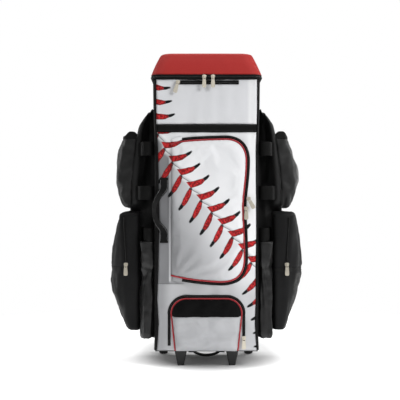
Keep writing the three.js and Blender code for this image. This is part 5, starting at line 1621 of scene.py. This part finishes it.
lid_skin.raise_by(pebbles, 0.18)
finished(lid, lid_skin.material, "lid")

# Small zip window: a short zip across the upper panel, just under the rim, with its own pull.
window = np.stack([np.linspace(-80, 91, 60), np.full(60, 802.95)], axis=1)
closed_zip("upper_zip", "upper_zip", on_front(window), (0, -1, 0), 11.5)

# Zip pulls: a cast nickel slider on each zip, with a hoop over it that carries a flat tapered tab.
nickel = Finish("brushed nickel", metallic=0.9, specular_ior_level=0.5)
x, y, z = nickel.place()
drawn_out = nickel.node("ShaderNodeCombineXYZ", None, [x * 2.5, y * 2.5, z * 0.3])
grain = nickel.node(
    "ShaderNodeTexNoise", {"noise_dimensions": "3D"}, {"Vector": drawn_out, "Scale": 1.0, "Detail": 3}
)
nickel.set("Base Color", nickel.mix(grain, (0.46, 0.42, 0.34), (0.78, 0.73, 0.62)))
nickel.set("Roughness", 0.26 + 0.16 * grain)
pulls = {
    "top_left": 0, "top_right": 0, "upper": 0.28, "front_upper": -0.5, "front_lower": 0, "lower": 0,
    "side_left": 0, "side_right": 0,
}


def slab(shape, outline, y0, y1, hole=None):
    """Adds a flat plate with a rounded outline of (x, z) points in mm, between two depths."""
    front = [shape.verts.new((x * mm, y0 * mm, z * mm)) for x, z in outline]
    back = [shape.verts.new((x * mm, y1 * mm, z * mm)) for x, z in outline]
    made = []
    count = len(outline)
    for i in range(count):
        made.append(shape.faces.new((front[i], front[(i + 1) % count], back[(i + 1) % count], back[i])))
    if hole is None:
        made += [shape.faces.new(front), shape.faces.new(back)]
    else:
        inner_front = [shape.verts.new((x * mm, y0 * mm, z * mm)) for x, z in hole]
        inner_back = [shape.verts.new((x * mm, y1 * mm, z * mm)) for x, z in hole]
        for a, b in ((front, inner_front), (back, inner_back), (inner_front, inner_back)):
            for i in range(count):
                made.append(shape.faces.new((a[i], a[(i + 1) % count], b[(i + 1) % count], b[i])))
    bmesh.ops.recalc_face_normals(shape, faces=made)
    return {corner for face in made for corner in face.verts}


def oval(half, tall, z, power=2.6, steps=28, taper=0.0):
    """An outline between an ellipse and a rectangle; taper narrows it towards its top."""
    turn = 2 * np.pi * np.arange(steps) / steps
    x = half * np.sign(np.cos(turn)) * np.abs(np.cos(turn)) ** (2 / power)
    up = tall * np.sign(np.sin(turn)) * np.abs(np.sin(turn)) ** (2 / power)
    return [(a * (1 - taper * (b + tall) / (2 * tall)), z + b) for a, b in zip(x, up)]


hoop_line = [
    (0, -5.4, 2.4), (0, -7.4, 2.2), (0, -8.7, 0.5), (0, -9.0, -2), (0, -8.6, -4), (0, -7.2, -4.8), (0, -5.4, -4.6),
]
for name, tilt in pulls.items():
    low, high = (np.array(corner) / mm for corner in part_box(f"zip_pull_{name}"))
    back = high[1]
    shape = bmesh.new()
    slab(shape, oval(5.2, 5.4, 0, 3.2, taper=-0.25), -1.7, 0)
    slab(shape, oval(4.6, 5.3, 0, 3.0, taper=-0.25), -5.6, -3.6)
    slab(shape, oval(1.7, 3.4, 0, 4, 16), -3.7, -1.6)
    line = evenly(np.array(hoop_line, float), 0.9)
    along = unit(np.gradient(line, axis=0))
    turn = 2 * np.pi * np.arange(8)[:, None] / 8
    across = np.array([1.0, 0, 0])
    out = np.cross(along, across)
    rings = []
    for spot, outward in zip(line, out):
        ring = spot + 1.1 * np.cos(turn) * across + 0.75 * np.sin(turn) * outward
        rings.append([shape.verts.new(point * mm) for point in ring])
    made = [shape.faces.new(rings[0]), shape.faces.new(rings[-1])]
    for a, b in zip(rings, rings[1:]):
        for i in range(8):
            j = (i + 1) % 8
            made.append(shape.faces.new((a[i], a[j], b[j], b[i])))
    bmesh.ops.recalc_face_normals(shape, faces=made)
    tab = slab(shape, oval(6.4, 14.4, -16.8, 4.5, taper=0.35), -8.5, -6.5, oval(2.1, 1.9, -5.6, 2.5))
    tab |= slab(shape, oval(4.3, 8.2, -20.4, 4.5, taper=0.25), -9.0, -8.4)
    cos, sin = np.cos(tilt), np.sin(tilt)
    for corner in tab:
        x, z = corner.co.x, corner.co.z
        corner.co.x, corner.co.z = x * cos + z * sin, z * cos - x * sin
    mesh = bpy.data.meshes.new(f"pull_{name}")
    shape.to_mesh(mesh)
    shape.free()
    mesh.shade_smooth()
    mesh.set_sharp_from_angle(angle=0.7)
    pull = placed(f"pull_{name}", mesh)
    points = np.array([v.co for v in mesh.vertices]) / mm
    slider_x = {"top_left": -6.5, "top_right": 18}.get(name)
    middle_x = (low[0] + high[0]) / 2 if slider_x is None else slider_x
    points += (middle_x, back, high[2] - 5.5)
    mesh.vertices.foreach_set("co", (points * mm).ravel())
    rounding = pull.modifiers.new("rounding", "BEVEL")
    rounding.width = 0.35 * mm
    rounding.segments = 2
    rounding.limit_method = "ANGLE"
    finished(pull, nickel.material, f"zip_pull_{name}")

# Studio: a white floor and background, a large soft light from the front right, a weaker one from the
# left, a card in front, a wide light overhead, and a strip on each side that edges the black cloth.
floor_mesh = bpy.data.meshes.new("floor")
shape = bmesh.new()
bmesh.ops.create_circle(shape, cap_ends=True, segments=128, radius=1.3)
shape.to_mesh(floor_mesh)
shape.free()
floor = placed("floor", floor_mesh)
paper = Finish("white paper", roughness=0.9, specular_ior_level=0.1, emission_strength=1.0)
x, y, z = paper.place()
# The floor glows evenly white away from the bag; round its foot the glow dims to almost nothing, a painted contact
# shadow.
outside_painted_shadow = (((x - 15) ** 2 + ((y - 180) * 0.6) ** 2) ** 0.5).between(165, 270)
mottle = paper.cloudy(900, 1, 1)
paper.set("Base Color", paper.mix(mottle, (0.9, 0.9, 0.9), (0.92, 0.92, 0.92)))
paper.set("Emission Color", paper.mix(outside_painted_shadow, (0.01, 0.01, 0.01), (0.6, 0.6, 0.6)))
floor.data.materials.append(paper.material)

world = bpy.data.worlds.new("white studio")
bpy.context.scene.world = world
world.use_nodes = True
world.node_tree.nodes["Background"].inputs["Color"].default_value = (1, 1, 1, 1)
behind = world.node_tree.nodes.new("ShaderNodeLightPath")
dimmed = world.node_tree.nodes.new("ShaderNodeMath")
dimmed.operation = "MULTIPLY_ADD"
dimmed.inputs[1].default_value = 0.8
dimmed.inputs[2].default_value = 0.2
world.node_tree.links.new(behind.outputs["Is Camera Ray"], dimmed.inputs[0])
world.node_tree.links.new(dimmed.outputs[0], world.node_tree.nodes["Background"].inputs["Strength"])


def soft_light(name, place, aim, size, power):
    light = bpy.data.lights.new(name, "AREA")
    light.shape = "RECTANGLE"
    light.size, light.size_y = size
    light.energy = power
    lamp = bpy.data.objects.new(name, light)
    lamp.location = place
    lamp.rotation_euler = (Vector(aim) - Vector(place)).to_track_quat("-Z", "Y").to_euler()
    bpy.context.scene.collection.objects.link(lamp)


soft_light("key", (2.1, -1.9, 2.0), (0, 0, 0.45), (0.9, 1.3), 50)
soft_light("fill", (-2.2, -1.6, 1.0), (0, 0, 0.45), (1.2, 1.8), 4)
soft_light("card", (0.3, -4.2, 1.3), (0, 0, 0.45), (1.6, 1.6), 11)
soft_light("overhead", (0, 0.1, 2.8), (0, 0, 0), (2.4, 2.4), 40)
soft_light("strip left", (-1.3, 0.5, 0.9), (-0.1, 0, 0.45), (0.3, 1.6), 7)
soft_light("strip right", (1.3, 0.5, 0.9), (0.1, 0, 0.45), (0.3, 1.6), 9)

lens = bpy.data.cameras.new("camera")
lens.sensor_width = 36
lens.lens = 83.1
lens.clip_end = 60
camera = bpy.data.objects.new("camera", lens)
camera.location = (-0.0183, -2.725, 0.4716)
camera.rotation_euler = (np.pi / 2, 0, 0)
bpy.context.scene.collection.objects.link(camera)
bpy.context.scene.camera = camera
bpy.context.scene.view_settings.view_transform = "Standard"
